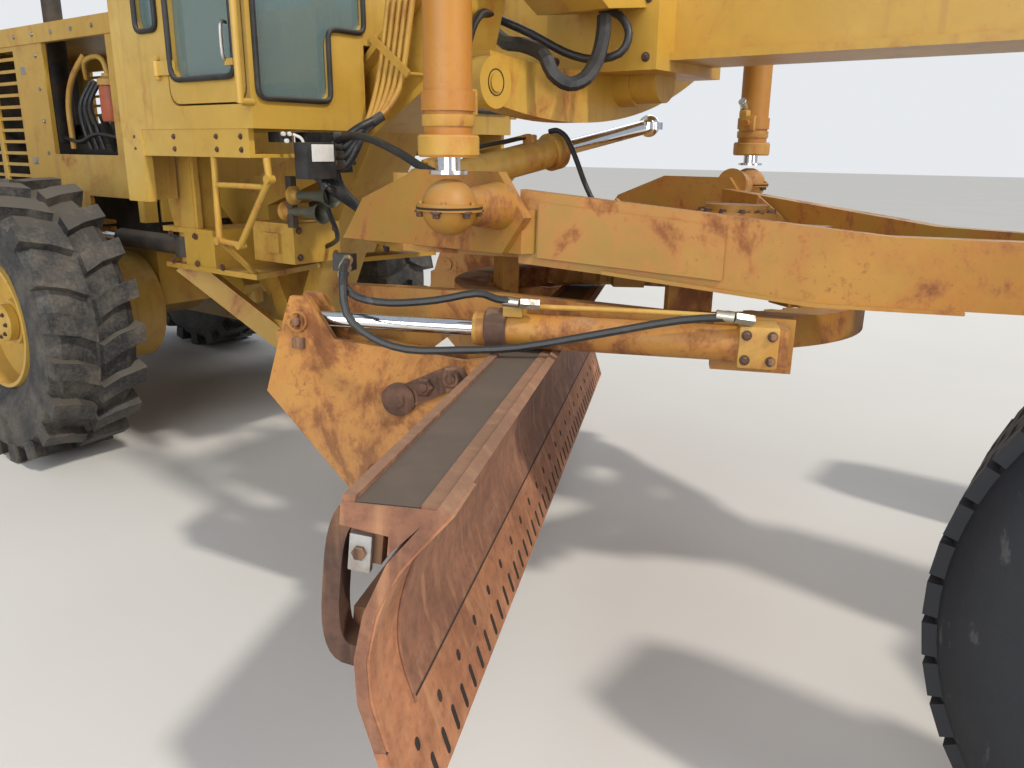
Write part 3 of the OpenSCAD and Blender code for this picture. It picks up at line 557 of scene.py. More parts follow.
FINISHES = {
    "yellow_paint": Paint((0.52, 0.30, 0.040), (0.58, 0.38, 0.092), 0.30),
    "yellow_cast": Paint((0.50, 0.28, 0.042), (0.55, 0.36, 0.09), 0.48, 0.5),
    "yellow_rim": Paint((0.64, 0.38, 0.045), (0.68, 0.45, 0.10), 0.16),
    "orange_paint": Paint((0.41, 0.160, 0.014), (0.44, 0.215, 0.028), 0.42, 0.5),
    "rusty_paint": Paint((0.42, 0.20, 0.030), (0.46, 0.26, 0.050), 1.0, 0.55),
    "circle_paint": Paint((0.31, 0.162, 0.020), (0.35, 0.205, 0.038), 0.85, 0.55),
    "drawbar_paint": Paint((0.32, 0.170, 0.018), (0.36, 0.215, 0.038), 0.74, 0.5),
    "cab_paint": Paint((0.54, 0.325, 0.050), (0.59, 0.40, 0.108), 0.06, 0.4),
    "rusted_steel": RustedSteel((0.155, 0.064, 0.037), (0.31, 0.140, 0.076), 0.3),
    # Rail floor: rust, made darker still as painted shade under the machine
    "rail_rust": Dull((0.036, 0.020, 0.017), (0.072, 0.041, 0.032), 0.85, 0.0, 60.0),
    "worn_edge": RustedSteel((0.24, 0.090, 0.040), (0.50, 0.215, 0.100), 0.6),
    "brown_rust": RustedSteel((0.055, 0.030, 0.022), (0.15, 0.072, 0.042), 0.15),
    "bare_steel": Bright((0.48, 0.46, 0.42), 0.35, 0.6),
    "chrome": Bright((0.82, 0.83, 0.85), 0.1, 0.3),
    "fitting": Bright((0.55, 0.52, 0.44), 0.32, 0.7),
    "tyre": Rubber((0.015, 0.016, 0.019), (0.25, 0.21, 0.155), 0.5),
    # Front tyres' rubber, darker than the rear tyres': painted shade, as the front tyres stand in shade
    "tyre_dark": Rubber((0.005, 0.0065, 0.010), (0.050, 0.047, 0.046), 0.12, 0.66),
    "black_rubber": Rubber((0.010, 0.011, 0.013), (0.13, 0.115, 0.095), 0.25, 0.42),
    "gasket": Dull((0.012, 0.012, 0.013), (0.05, 0.048, 0.045), 0.55),
    "dark_iron": Dull((0.05, 0.048, 0.045), (0.15, 0.10, 0.06), 0.62, 0.35),
    "dark_trim": Dull((0.035, 0.033, 0.032), (0.09, 0.08, 0.07), 0.75, 0.0, 240.0),
    "horn_metal": Dull((0.10, 0.115, 0.085), (0.20, 0.17, 0.11), 0.5, 0.4),
    "filter_orange": Dull((0.45, 0.10, 0.035), (0.24, 0.09, 0.05), 0.5),
    "worn_zinc": Dull((0.40, 0.395, 0.38), (0.22, 0.14, 0.085), 0.45, 0.4),
    "plate_white": Dull((0.72, 0.71, 0.68), (0.50, 0.45, 0.38), 0.5),
    "lamp_lens": Glass((0.85, 0.86, 0.83)),
    "glass": Glass((0.30, 0.43, 0.42)),
    "lamp_red": Dull((0.35, 0.03, 0.02), (0.22, 0.06, 0.04), 0.3),
    "hole_dark": Dull((0.016, 0.010, 0.008), (0.05, 0.028, 0.018), 0.9),
    "seat_vinyl": Dull((0.022, 0.022, 0.024), (0.07, 0.065, 0.06), 0.55, 0.0, 200.0),
    # Tip cylinder paint: heavy rust, with a darker and browner base that is painted shade
    "tip_paint": Paint((0.36, 0.175, 0.022), (0.39, 0.215, 0.036), 1.0, 0.5),
}
# Finishes of single CAD nodes, and below them of every node whose name holds a word
CAD_FINISH = {
    "cab_shell": "cab_paint", "door_right": "cab_paint", "door_left": "cab_paint", "drawbar": "drawbar_paint",
    "circle": "circle_paint", "tyre_front_right": "tyre_dark", "tyre_front_left": "tyre_dark",
    "tip_hoses": "black_rubber", "valve_bank": "black_rubber", "shift_barrel": "yellow_cast",
}
KIND_FINISH = {
    "tyre": "tyre", "rim": "yellow_rim", "moldboard": "rusted_steel", "cutting": "worn_edge",
    "tip_bracket": "rusty_paint", "lift_barrel": "orange_paint", "rod": "chrome", "ball": "bare_steel",
    "glass": "glass", "interior": "dark_trim", "engine": "dark_iron", "artic_barrel": "dark_iron",
    "tip_barrel": "tip_paint",
}


class Finishes:
    """The shared materials, each made once when a piece first asks for it."""

    made: dict[str, bpy.types.Material] = {}

    @classmethod
    def get(cls, name: str) -> bpy.types.Material:
        """The material of that name."""
        if name not in cls.made:
            cls.made[name] = FINISHES[name].build(name)
        return cls.made[name]


def finished(mesh: bpy.types.Mesh, name: str, body: str, finish: str,
             smooth: bool = True) -> bpy.types.Object:
    """Turn a mesh into a piece that rides on a body.

    Args:
        mesh: The mesh, with its place in its points.
        name: The piece's name.
        body: The body that carries it.
        finish: The name of its finish.
        smooth: True for shading that is smooth below 35 degrees.

    Returns:
        The piece.
    """
    piece = bpy.data.objects.new(name, mesh)
    bpy.context.scene.collection.objects.link(piece)
    mesh.materials.clear()
    mesh.materials.append(Finishes.get(finish))
    if smooth:
        mesh.shade_smooth()
        mesh.set_sharp_from_angle(angle=math.radians(35))
    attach(piece, body)
    LOG.info("%s on %s, %d faces", name, body, len(mesh.polygons))
    return piece


class Shape:
    """A mesh in the making: boxes, turned forms, tubes and prisms added one after another."""

    # Bevel of a bar's ends, and the way that a tube's first seam faces
    SOFT = 0.0015
    SEAM = Vector((0.31, 0.22, 0.93))

    def __init__(self, place: Matrix = MACHINE) -> None:
        """Start an empty shape.

        Args:
            place: Where its own coordinates lie in the frame.
        """
        self.bm = bmesh.new()
        self.placing = place

    def _ring(self, middle: Vector, side: Vector, other: Vector, radius: float, sides: int) -> Ring:
        """Add a ring of points.

        Args:
            middle: Middle of the ring.
            side: Direction of its first point.
            other: Direction of the point a quarter turn on.
            radius: Radius of the ring.
            sides: Number of points.

        Returns:
            The new points.
        """
        turns = (math.tau * k / sides for k in range(sides))
        return [self.bm.verts.new(middle + radius * (math.cos(a) * side + math.sin(a) * other))
                for a in turns]

    def _band(self, one: Ring, two: Ring, sides: int) -> Faces:
        """Add the faces between two rings, either of which may be a single point.

        Args:
            one: First ring.
            two: Second ring.
            sides: Faces round the band.

        Returns:
            The new faces.
        """
        faces = []
        for k in range(sides):
            corners = [one[k % len(one)], one[(k + 1) % len(one)], two[(k + 1) % len(two)], two[k % len(two)]]
            corners = list(dict.fromkeys(corners))
            if len(corners) > 2:
                faces.append(self.bm.faces.new(corners))
        return faces

    def _keep(self, made: Ring, local: Matrix) -> None:
        """Move new points to their place."""
        bmesh.ops.transform(self.bm, matrix=self.placing @ local, verts=list(made))

    def block(self, low: Point, high: Point, bevel: float = 0.003, local: Matrix = Matrix()) -> "Shape":
        """Add a box with soft edges.

        Args:
            low: Lowest corner.
            high: Highest corner.
            bevel: Width of the edges.
            local: Extra turn or move.

        Returns:
            The shape itself.
        """
        size = Vector(high) - Vector(low)
        middle = (Vector(high) + Vector(low)) / 2
        made = bmesh.ops.create_cube(self.bm, size=1.0)["verts"]
        bmesh.ops.scale(self.bm, vec=size, verts=made)
        edges = list({e for v in made for e in v.link_edges})
        width = min(bevel, min(size) * 0.45)
        out = bmesh.ops.bevel(self.bm, geom=edges, offset=width, segments=2, affect="EDGES", profile=0.6)
        made = list({v for f in out["faces"] for v in f.verts} | {v for v in made if v.is_valid})
        self._keep(made, local @ Matrix.Translation(middle))
        return self

    def turned(self, profile: Profile, start: Point, axis: Point, sides: int = 24) -> "Shape":
        """Add a form turned about an axis.

        Args:
            profile: Pairs of height along the axis and radius, from one end to the other.
            start: Where height 0 lies.
            axis: Direction of the axis.
            sides: Faces round the axis.

        Returns:
            The shape itself.
        """
        rings = self._rings(profile, sides)
        faces = [face for one, two in zip(rings, rings[1:]) for face in self._band(one, two, sides)]
        for ring in (rings[0], rings[-1]):
            if len(ring) > 1:
                faces.append(self.bm.faces.new(ring))
        self._stand(rings, faces, start, axis)
        return self

    def _rings(self, profile: Profile, sides: int) -> list[Ring]:
        """Add one ring about Z for every pair of a profile, or a single point where its radius is 0.

        Args:
            profile: Pairs of height and radius.
            sides: Points round a ring.

        Returns:
            The rings.
        """
        rings = []
        for height, radius in profile:
            middle = Vector((0, 0, height))
            if radius <= 1e-6:
                rings.append([self.bm.verts.new(middle)])
            else:
                rings.append(self._ring(middle, Vector((1, 0, 0)), Vector((0, 1, 0)), radius, sides))
        return rings

    def _stand(self, rings: Sequence[Ring], faces: Faces, start: Point, axis: Point) -> None:
        """Turn rings from Z to an axis, and their faces outwards.

        Args:
            rings: The rings to move.
            faces: The faces between them.
            start: Where height 0 lies.
            axis: Direction of the axis.
        """
        bmesh.ops.recalc_face_normals(self.bm, faces=faces)
        turn = Vector(axis).to_track_quat("Z", "Y").to_matrix().to_4x4()
        self._keep([v for ring in rings for v in ring], Matrix.Translation(start) @ turn)

    def rod(self, start: Point, end: Point, radius: float, sides: int = 20) -> "Shape":
        """Add a round bar with soft ends between two points.

        Args:
            start: Middle of one end.
            end: Middle of the other end.
            radius: Radius of the bar.
            sides: Faces round it.

        Returns:
            The shape itself.
        """
        run = Vector(end) - Vector(start)
        long = run.length
        soft = min(self.SOFT, radius * 0.4, long * 0.4)
        profile = [(0, radius - soft), (soft, radius), (long - soft, radius), (long, radius - soft)]
        return self.turned(profile, start, run, sides)

    def prism(self, outline: Sequence[Point], low: float, high: float, plane: str = "XZ") -> "Shape":
        """Add a plate cut to an outline.

        Args:
            outline: Corners of the outline, in the two axes of the plane.
            low: Where the plate starts along the third axis.
            high: Where it ends.
            plane: The two axes of the outline, XZ or XY.

        Returns:
            The shape itself.
        """
        upright = plane == "XZ"
        foot, top = ([self.bm.verts.new((u, level, v) if upright else (u, v, level)) for u, v in outline]
                     for level in (low, high))
        faces = [self.bm.faces.new(foot), self.bm.faces.new(top)] + self._band(foot, top, len(outline))
        bmesh.ops.recalc_face_normals(self.bm, faces=faces)
        self._keep(foot + top, Matrix())
        return self

    def tube(self, route: Sequence[Point], radius: float, sides: int = 12, steps: int = 6) -> "Shape":
        """Add a bent tube or hose through points, with closed ends.

        Args:
            route: The points that it passes.
            radius: Its radius.
            sides: Faces round it.
            steps: Rings between two points.

        Returns:
            The shape itself.
        """
        spots = smooth_route([self.placing @ Vector(p) for p in route], steps)
        rings = []
        side = self.SEAM
        for i, spot in enumerate(spots):
            run = (spots[min(i + 1, len(spots) - 1)] - spots[max(i - 1, 0)]).normalized()
            side = (side - run * side.dot(run)).normalized()
            rings.append(self._ring(spot, side, run.cross(side), radius, sides))
        faces = [self.bm.faces.new(rings[0]), self.bm.faces.new(rings[-1])]
        for one, two in zip(rings, rings[1:]):
            faces += self._band(one, two, sides)
        bmesh.ops.recalc_face_normals(self.bm, faces=faces)
        return self

    def loop(self, spots: Sequence[Vector], radius: float, sides: int = 10) -> "Shape":
        """Add a closed loop of round section through spots of the shape's own frame.

        Args:
            spots: The points that it passes, in order.
            radius: Radius of its section.
            sides: Faces round the section.

        Returns:
            The shape itself.
        """
        line = [self.placing @ Vector(s) for s in spots]
        count = len(line)
        flat = (line[count // 4] - line[0]).cross(line[count // 2] - line[0]).normalized()
        rings = []
        for i, spot in enumerate(line):
            run = (line[(i + 1) % count] - line[i - 1]).normalized()
            rings.append(self._ring(spot, run.cross(flat), flat, radius, sides))
        faces = []
        for i, one in enumerate(rings):
            faces += self._band(one, rings[(i + 1) % count], sides)
        bmesh.ops.recalc_face_normals(self.bm, faces=faces)
        return self

    def ringed(self, profile: Profile, start: Point, axis: Point, sides: int) -> "Shape":
        """Add a hollow form turned about an axis from a closed profile.

        Args:
            profile: Pairs of height along the axis and radius, round the section.
            start: Where height 0 lies.
            axis: Direction of the axis.
            sides: Faces round the axis.

        Returns:
            The shape itself.
        """
        rings = self._rings(profile, sides)
        faces = []
        for i, one in enumerate(rings):
            faces += self._band(one, rings[(i + 1) % len(rings)], sides)
        self._stand(rings, faces, start, axis)
        return self

    def mesh(self, name: str) -> bpy.types.Mesh:
        """End the shape as a plain mesh.

        Args:
            name: The mesh's name.

        Returns:
            The mesh.
        """
        data = bpy.data.meshes.new(name)
        self.bm.to_mesh(data)
        self.bm.free()
        return data

    def piece(self, name: str, body: str, finish: str) -> bpy.types.Object:
        """Finish the shape as a piece on a body."""
        return finished(self.mesh(name), name, body, finish)


def smooth_route(points: Sequence[Vector], steps: int) -> list[Vector]:
    """A smooth line through points.

    Args:
        points: The points that it passes.
        steps: Parts between two points.

    Returns:
        The points of the smooth line.
    """
    out: list[Vector] = []
    for i in range(len(points) - 1):
        a, b, c, d = points[max(i - 1, 0)], points[i], points[i + 1], points[min(i + 2, len(points) - 1)]
        square, cube = 2 * a - 5 * b + 4 * c - d, 3 * b - a - 3 * c + d
        for k in range(steps):
            t = k / steps
            out.append(0.5 * (2 * b + (c - a) * t + square * t * t + cube * t ** 3))
    out.append(points[-1].copy())
    return out


@dataclass(frozen=True)
class Spot:
    """One place for a repeated element.

    Attributes:
        at: Where it sits.
        facing: Where its own Z axis points.
        along: Where its own X axis points, as near as its facing allows.
    """

    at: Point
    facing: Point
    along: Point = ASKEW


class Repeater:
    """Copies of one element on points, made by one shared Geometry Nodes tree."""

    tree: bpy.types.NodeTree | None = None
    ids: dict[str, str] = {}

    @classmethod
    def _make_tree(cls) -> None:
        """Build the tree: an instance on each point, turned by its attributes, then one plain mesh."""
        tree = bpy.data.node_groups.new("repeat_element", "GeometryNodeTree")
        face = tree.interface
        kinds = {"Geometry": "Geometry", "Element": "Object", "Finish": "Material", "Jitter": "Float"}
        for name, kind in kinds.items():
            cls.ids[name] = face.new_socket(name, in_out="INPUT", socket_type="NodeSocket" + kind).identifier
        face.new_socket("Geometry", in_out="OUTPUT", socket_type="NodeSocketGeometry")
        make, link = tree.nodes.new, tree.links.new
        enter, leave = make("NodeGroupInput"), make("NodeGroupOutput")
        element, place = make("GeometryNodeObjectInfo"), make("GeometryNodeInstanceOnPoints")
        link(enter.outputs["Element"], element.inputs["Object"])
        turn = None
        for attribute, axis, pivot in (("facing", "Z", "AUTO"), ("along", "X", "Z")):
            read = make("GeometryNodeInputNamedAttribute")
            read.data_type = "FLOAT_VECTOR"
            read.inputs["Name"].default_value = attribute
            align = make("FunctionNodeAlignRotationToVector")
            align.axis = axis
            align.pivot_axis = pivot
            link(read.outputs["Attribute"], align.inputs["Vector"])
            if turn is not None:
                link(turn.outputs[0], align.inputs["Rotation"])
            turn = align
        chance, spin = make("FunctionNodeRandomValue"), make("FunctionNodeAxisAngleToRotation")
        chance.data_type = "FLOAT"
        chance.inputs["Seed"].default_value = SEED
        link(enter.outputs["Jitter"], chance.inputs[3])
        spin.inputs["Axis"].default_value = UP
        link(chance.outputs[1], spin.inputs["Angle"])
        about = make("FunctionNodeRotateRotation")
        about.rotation_space = "LOCAL"
        link(turn.outputs[0], about.inputs["Rotation"])
        link(spin.outputs[0], about.inputs["Rotate By"])
        link(enter.outputs["Geometry"], place.inputs["Points"])
        link(element.outputs["Geometry"], place.inputs["Instance"])
        link(about.outputs[0], place.inputs["Rotation"])
        real, skin = make("GeometryNodeRealizeInstances"), make("GeometryNodeSetMaterial")
        link(place.outputs[0], real.inputs[0])
        link(real.outputs[0], skin.inputs["Geometry"])
        link(enter.outputs["Finish"], skin.inputs["Material"])
        link(skin.outputs[0], leave.inputs[0])
        cls.tree = tree

    @classmethod
    def lay(cls, name: str, body: str, finish: str, element: Shape, spots: Sequence[Spot],
            place: Matrix = MACHINE, jitter: float = 0.0, smooth: bool = True) -> None:
        """Put an element on every spot.

        Args:
            name: The piece's name.
            body: The body that carries it.
            finish: Its finish.
            element: The element, made about the origin.
            spots: Where it is repeated.
            place: Where the spots' own coordinates lie.
            jitter: Largest random turn about its facing, in radians.
            smooth: True for smooth shading.
        """
        if cls.tree is None:
            cls._make_tree()
        sample = bpy.data.objects.new(name + "_element", element.mesh(name + "_element"))
        points = bpy.data.meshes.new(name + "_points")
        points.from_pydata([place @ Vector(s.at) for s in spots], [], [])
        turn = place.to_3x3()
        for label in ("facing", "along"):
            ways = points.attributes.new(label, "FLOAT_VECTOR", "POINT")
            for item, spot in zip(ways.data, spots):
                item.vector = (turn @ Vector(getattr(spot, label))).normalized()
        carrier = bpy.data.objects.new(name + "_points", points)
        for thing in (sample, carrier):
            bpy.context.scene.collection.objects.link(thing)
        modifier = carrier.modifiers.new("repeat", "NODES")
        modifier.node_group = cls.tree
        modifier[cls.ids["Element"]] = sample
        modifier[cls.ids["Finish"]] = Finishes.get(finish)
        modifier[cls.ids["Jitter"]] = jitter
        bpy.context.view_layer.update()
        solid = bpy.data.meshes.new_from_object(carrier.evaluated_get(bpy.context.evaluated_depsgraph_get()))
        for thing in (sample, carrier):
            bpy.data.objects.remove(thing)
        solid.name = name
        finished(solid, name, body, finish, smooth)


def bolt(radius: float, height: float) -> Shape:
    """A hexagon bolt head on its washer.

    Args:
        radius: Radius of the head.
        height: Height of the head.

    Returns:
        The shape, made about the origin.
    """
    head = Shape(Matrix())
    head.turned([(-0.002, radius * 1.45), (height * 0.3, radius * 1.45)], (0, 0, 0), UP, 18)
    head.turned([(0, radius), (height * 1.15, radius), (height * 1.35, radius * 0.8)], (0, 0, 0), UP, 6)
    return head


def bolts(name: str, body: str, radius: float, height: float, spots: Sequence[Spot], place: Matrix = MACHINE,
          finish: str = "brown_rust") -> None:
    """Put a bolt head on every spot, turned about its own axis as if by chance.

    Args:
        name: The piece's name.
        body: The body that carries it.
        radius: Radius of a head.
        height: Height of a head.
        spots: Where they sit.
        place: Where the spots' own coordinates lie.
        finish: Their finish.
    """
    Repeater.lay(name, body, finish, bolt(radius, height), spots, place, 1.0)


def ring_of(count: int, radius: float, middle: Point, facing: Point, start: float = 0.0) -> list[Spot]:
    """Spots spaced round a circle, all facing along its axis and turned outwards.

    Args:
        count: Number of spots.
        radius: Radius of the circle.
        middle: Its middle.
        facing: Direction of its axis.
        start: Angle of the first spot in degrees.

    Returns:
        The spots.
    """
    turn = Vector(facing).to_track_quat("Z", "Y").to_matrix()
    spots = []
    for k in range(count):
        angle = math.radians(start) + math.tau * k / count
        out = turn @ Vector((math.cos(angle), math.sin(angle), 0))
        spots.append(Spot(Vector(middle) + radius * out, facing, out))
    return spots


def row_of(count: int, start: Point, end: Point, facing: Point) -> list[Spot]:
    """Spots spaced evenly on a straight line, both ends included."""
    return [Spot(Vector(start).lerp(Vector(end), k / (count - 1)), facing) for k in range(count)]


def hose(name: str, body: str, finish: str, route: Sequence[Point], radius: float) -> None:
    """A free hydraulic hose as a curve.

    Args:
        name: The piece's name.
        body: The body that carries it.
        finish: Its finish.
        route: The points that it passes, from where it leaves the object.
        radius: Its radius.
    """
    spots = smooth_route([MACHINE @ Vector(p) for p in route], 3)
    data = bpy.data.curves.new(name, "CURVE")
    data.dimensions = "3D"
    data.bevel_depth = radius
    data.bevel_resolution = 4
    data.use_fill_caps = True
    line = data.splines.new("POLY")
    line.points.add(len(spots) - 1)
    for point, spot in zip(line.points, spots):
        point.co = (*spot, 1.0)
    line.use_smooth = True
    data.materials.append(Finishes.get(finish))
    piece = bpy.data.objects.new(name, data)
    bpy.context.scene.collection.objects.link(piece)
    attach(piece, body)


def rounded(length: float, width: float, radius: float, parts: int = 6) -> Profile:
    """Corners of a rounded rectangle about the origin.

    Args:
        length: Its length along X.
        width: Its width.
        radius: Radius of its corners.
        parts: Steps round one corner.

    Returns:
        The corners in order.
    """
    out = []
    for sx, sy, start in ((1, 1, 0), (-1, 1, 90), (-1, -1, 180), (1, -1, 270)):
        x, y = sx * (length / 2 - radius), sy * (width / 2 - radius)
        for k in range(parts + 1):
            a = math.radians(start + 90 * k / parts)
            out.append((x + radius * math.cos(a), y + radius * math.sin(a)))
    return out


def rounded_at(x: float, z: float, length: float, width: float, radius: float) -> Profile:
    """A rounded rectangle about a point."""
    return [(x + a, z + b) for a, b in rounded(length, width, radius)]


@dataclass(frozen=True)
class Run:
    """A straight line, for forms set along a cylinder.

    Attributes:
        start: Where it starts.
        end: Where it ends.
    """

    start: Vector
    end: Vector

    @property
    def unit(self) -> Vector:
        """Its direction."""
        return (self.end - self.start).normalized()

    def at(self, way: float, off: Point = (0, 0, 0)) -> Vector:
        """The point that far along it, moved by an offset."""
        return self.start + self.unit * way + Vector(off)


@dataclass(frozen=True)
class BladeSizes:
    """Sizes of the blade's details, in metres.

    Attributes:
        half: Half the blade's length.
        slot_pitch: Spacing of the slots in the cutting edge.
        slot_rise: Height of the slots' middle along the edge's face.
        hole_rise: Height of the bolt holes above them.
        proud: How far the dark inlays stand off the edge's face.
        end_width: Width of the wear plate at each end.
        end_gap: How far these plates stay inside the blade's ends.
        hook_out: How far the hooks stay inside the blade's ends.
        hook_in: How far in they reach.
    """

    half: float = 1.83
    slot_pitch: float = 0.0762
    slot_rise: float = 0.040
    hole_rise: float = 0.118
    proud: float = 0.0004
    end_width: float = 0.15
    end_gap: float = 0.003
    hook_out: float = 0.034
    hook_in: float = 0.085


class Blade:
    """Slots, holes, seam, end plates, rail hooks and top rail of the moldboard."""

    # The cutting edge's own directions, and the curve of the moldboard's face as pairs of X and Z
    FACE = Vector((0.918, 0.0, 0.397))
    RISE = Vector((-0.397, 0.0, 0.918))
    FRONT = ((-0.073, 0.170), (-0.110, 0.260), (-0.122, 0.340), (-0.112, 0.430), (-0.080, 0.520),
             (0.0, 0.638))
    # Middle of the rail hooks as X and Z, and half the depth and height of their outer and inner outlines
    HOOK = (-0.150, 0.462)
    HOOK_OUTER = (0.072, 0.158)
    HOOK_INNER = (0.040, 0.118)

    def __init__(self, sizes: BladeSizes = BladeSizes()) -> None:
        """Keep the sizes."""
        self.sizes = sizes

    def holes(self) -> None:
        """Two rows of dark inlays on the cutting edge, painted shade in place of openings: slots below, bolt
        holes above.
        """
        s = self.sizes
        count = int(2 * (s.half - 0.04) / s.slot_pitch) + 1
        edge = count * s.slot_pitch / 2 - s.slot_pitch / 2
        low, high = (self.RISE * rise + self.FACE * s.proud for rise in (s.slot_rise, s.hole_rise))
        slots = [Spot(low + Vector((0, -edge + k * s.slot_pitch, 0)), self.FACE, self.RISE)
                 for k in range(count)]
        holes = [Spot(high + Vector((0, -edge + (k + 0.5) * s.slot_pitch, 0)), self.FACE, self.RISE)
                 for k in range(0, count - 1, 2)]
        for name, outline, spots in (("edge_slots", rounded(0.058, 0.018, 0.009), slots),
                                     ("edge_holes", rounded(0.026, 0.020, 0.0098), holes)):
            # Each inlay is a dark sheet painted as the shade inside an opening
            inlay = Shape(Matrix()).prism(outline, -0.002, 0.0006, "XY")
            Repeater.lay(name, "moldboard", "hole_dark", inlay, spots, BLADE)

    def seam(self) -> None:
        """The open joint where the cutting edge meets the moldboard."""
        h = self.sizes.half
        section = [(-0.071, 0.1665), (-0.0725, 0.1725), (-0.078, 0.171), (-0.078, 0.165)]
        Shape(BLADE).prism(section, -h, h).piece("edge_seam", "moldboard", "hole_dark")

    def ends(self) -> None:
        """Welded wear plates at both ends of the moldboard's face."""
        s = self.sizes
        curve = smooth_route([Vector((u, 0, w)) for u, w in self.FRONT], 4)
        inner = [(p.x - 0.004, p.z) for p in curve]
        outer = []
        for k, spot in enumerate(curve):
            run = (curve[min(k + 1, len(curve) - 1)] - curve[max(k - 1, 0)]).normalized()
            outer.append((spot.x + 0.006 * run.z, spot.z - 0.006 * run.x))
        for side in Side:
            far = side.value * (s.half - s.end_width)
            low, high = sorted((side.value * (s.half - s.end_gap), far))
            plate = Shape(BLADE).prism(outer + inner[::-1], low, high)
            plate.piece(f"end_plate_{side.label}", "moldboard", "worn_edge")
            bead = Shape(BLADE).tube([(u + 0.002, far, w) for u, w in outer[::3]], 0.004, 8, 2)
            bead.piece(f"end_weld_{side.label}", "moldboard", "rusted_steel")

    def hook_line(self, reach: tuple[float, float]) -> Profile:
        """Half of a rounded oblong round the hooks' middle, open towards the blade.

        Args:
            reach: Half its depth and half its height.

        Returns:
            Its points from the top to the foot, as pairs of X and Z.
        """
        line = []
        for k in range(17):
            a = math.radians(90 + 180 * k / 16)
            across, up = -abs(math.cos(a)) ** 0.6, math.copysign(abs(math.sin(a)) ** 0.7, math.sin(a))
            line.append((self.HOOK[0] + reach[0] * across, self.HOOK[1] + reach[1] * up))
        return line

    def hooks(self) -> None:
        """Dark cast hooks behind both ends that hold the rails, each with a plate and a nut."""
        outline = self.hook_line(self.HOOK_OUTER) + self.hook_line(self.HOOK_INNER)[::-1]
        for side in Side:
            out = side.value * (self.sizes.half - self.sizes.hook_out)
            low, high = sorted((out, side.value * (self.sizes.half - self.sizes.hook_in)))
            hook = Shape(BLADE).prism(outline, low, high)
            hook.block((-0.180, low + 0.004, 0.505), (-0.12, high - 0.004, 0.585), 0.004)
            hook.piece(f"rail_hook_{side.label}", "moldboard", "brown_rust")
            plate = Shape(BLADE).block((-0.176, out - 0.008, 0.492), (-0.136, out + 0.008, 0.560), 0.003)
            plate.piece(f"rail_plate_{side.label}", "moldboard", "worn_zinc")
            nut = Shape(BLADE).rod((-0.156, out, 0.528), (-0.156, out + side.value * 0.016, 0.528), 0.013, 6)
            nut.piece(f"rail_nut_{side.label}", "moldboard", "brown_rust")

    def rail(self) -> None:
        """The floor of the top rail between its raised lips, dark with rust and with painted shade."""
        h = self.sizes.half - 0.004
        section = [(-0.163, 0.6255), (-0.050, 0.6355), (-0.050, 0.6395), (-0.163, 0.6290)]
        Shape(BLADE).prism(section, -h, h).piece("rail_floor", "moldboard", "rail_rust")
        lips = Shape(BLADE)
        lips.prism([(-0.1845, 0.623), (-0.162, 0.6255), (-0.162, 0.638), (-0.1845, 0.636)], -h, h)
        lips.prism([(-0.051, 0.6345), (-0.024, 0.6375), (-0.024, 0.6425), (-0.051, 0.6430)], -h, h)
        lips.piece("rail_lips", "moldboard", "rusted_steel")

    def build(self) -> None:
        """Make every detail of the blade."""
        self.holes()
        self.seam()
        self.ends()
        self.hooks()
        self.rail()


class DrawbarDetails:
    """Bolts of the drawbar's ball caps, cover, top plate and circle shoes, and the caps' seams."""

    # Balls of the lift cylinders, angles and radius of the circle shoes, and height of the top plate
    LIFT = ((LIFT_X, -LIFT_Y, 1.385), (LIFT_X, LIFT_Y, 1.385))
    SHOES = (52, 128, -52, -128)
    SHOE_RADIUS = 0.585
    TOP = 0.1125

    def build(self) -> None:
        """Make the details."""
        seam = Shape()
        for spot in self.LIFT:
            seam.turned([(-0.003, 0.0935), (0.003, 0.0935)], spot, UP, 40)
        seam.piece("ball_cap_seams", "drawbar", "hole_dark")
        caps = [s for x, y, z in self.LIFT for s in ring_of(6, 0.083, (x, y, z - 0.009), DOWN, 15)]
        bolts("ball_cap_bolts", "drawbar", 0.010, 0.012, caps)
        cover = ring_of(12, 0.126, (-1.33, 0, 0.2345), UP)
        plate = [s for y in (-1, 1)
                 for s in row_of(7, (-1.2, y * 0.57, self.TOP), (-1.95, y * 0.825, self.TOP), UP)]
        bolts("drawbar_bolts", "drawbar", 0.011, 0.009, cover + plate, DRAWBAR)
        shoe = []
        for angle in self.SHOES:
            out = Vector((math.cos(math.radians(angle)), math.sin(math.radians(angle)), 0))
            across = Vector((-out.y, out.x, 0))
            middle = Vector((CIRCLE_X, 0, self.TOP)) + self.SHOE_RADIUS * out
            shoe += [Spot(middle + off * across, UP) for off in (-0.045, 0.045)]
        bolts("shoe_bolts", "drawbar", 0.016, 0.013, shoe, DRAWBAR, "yellow_cast")


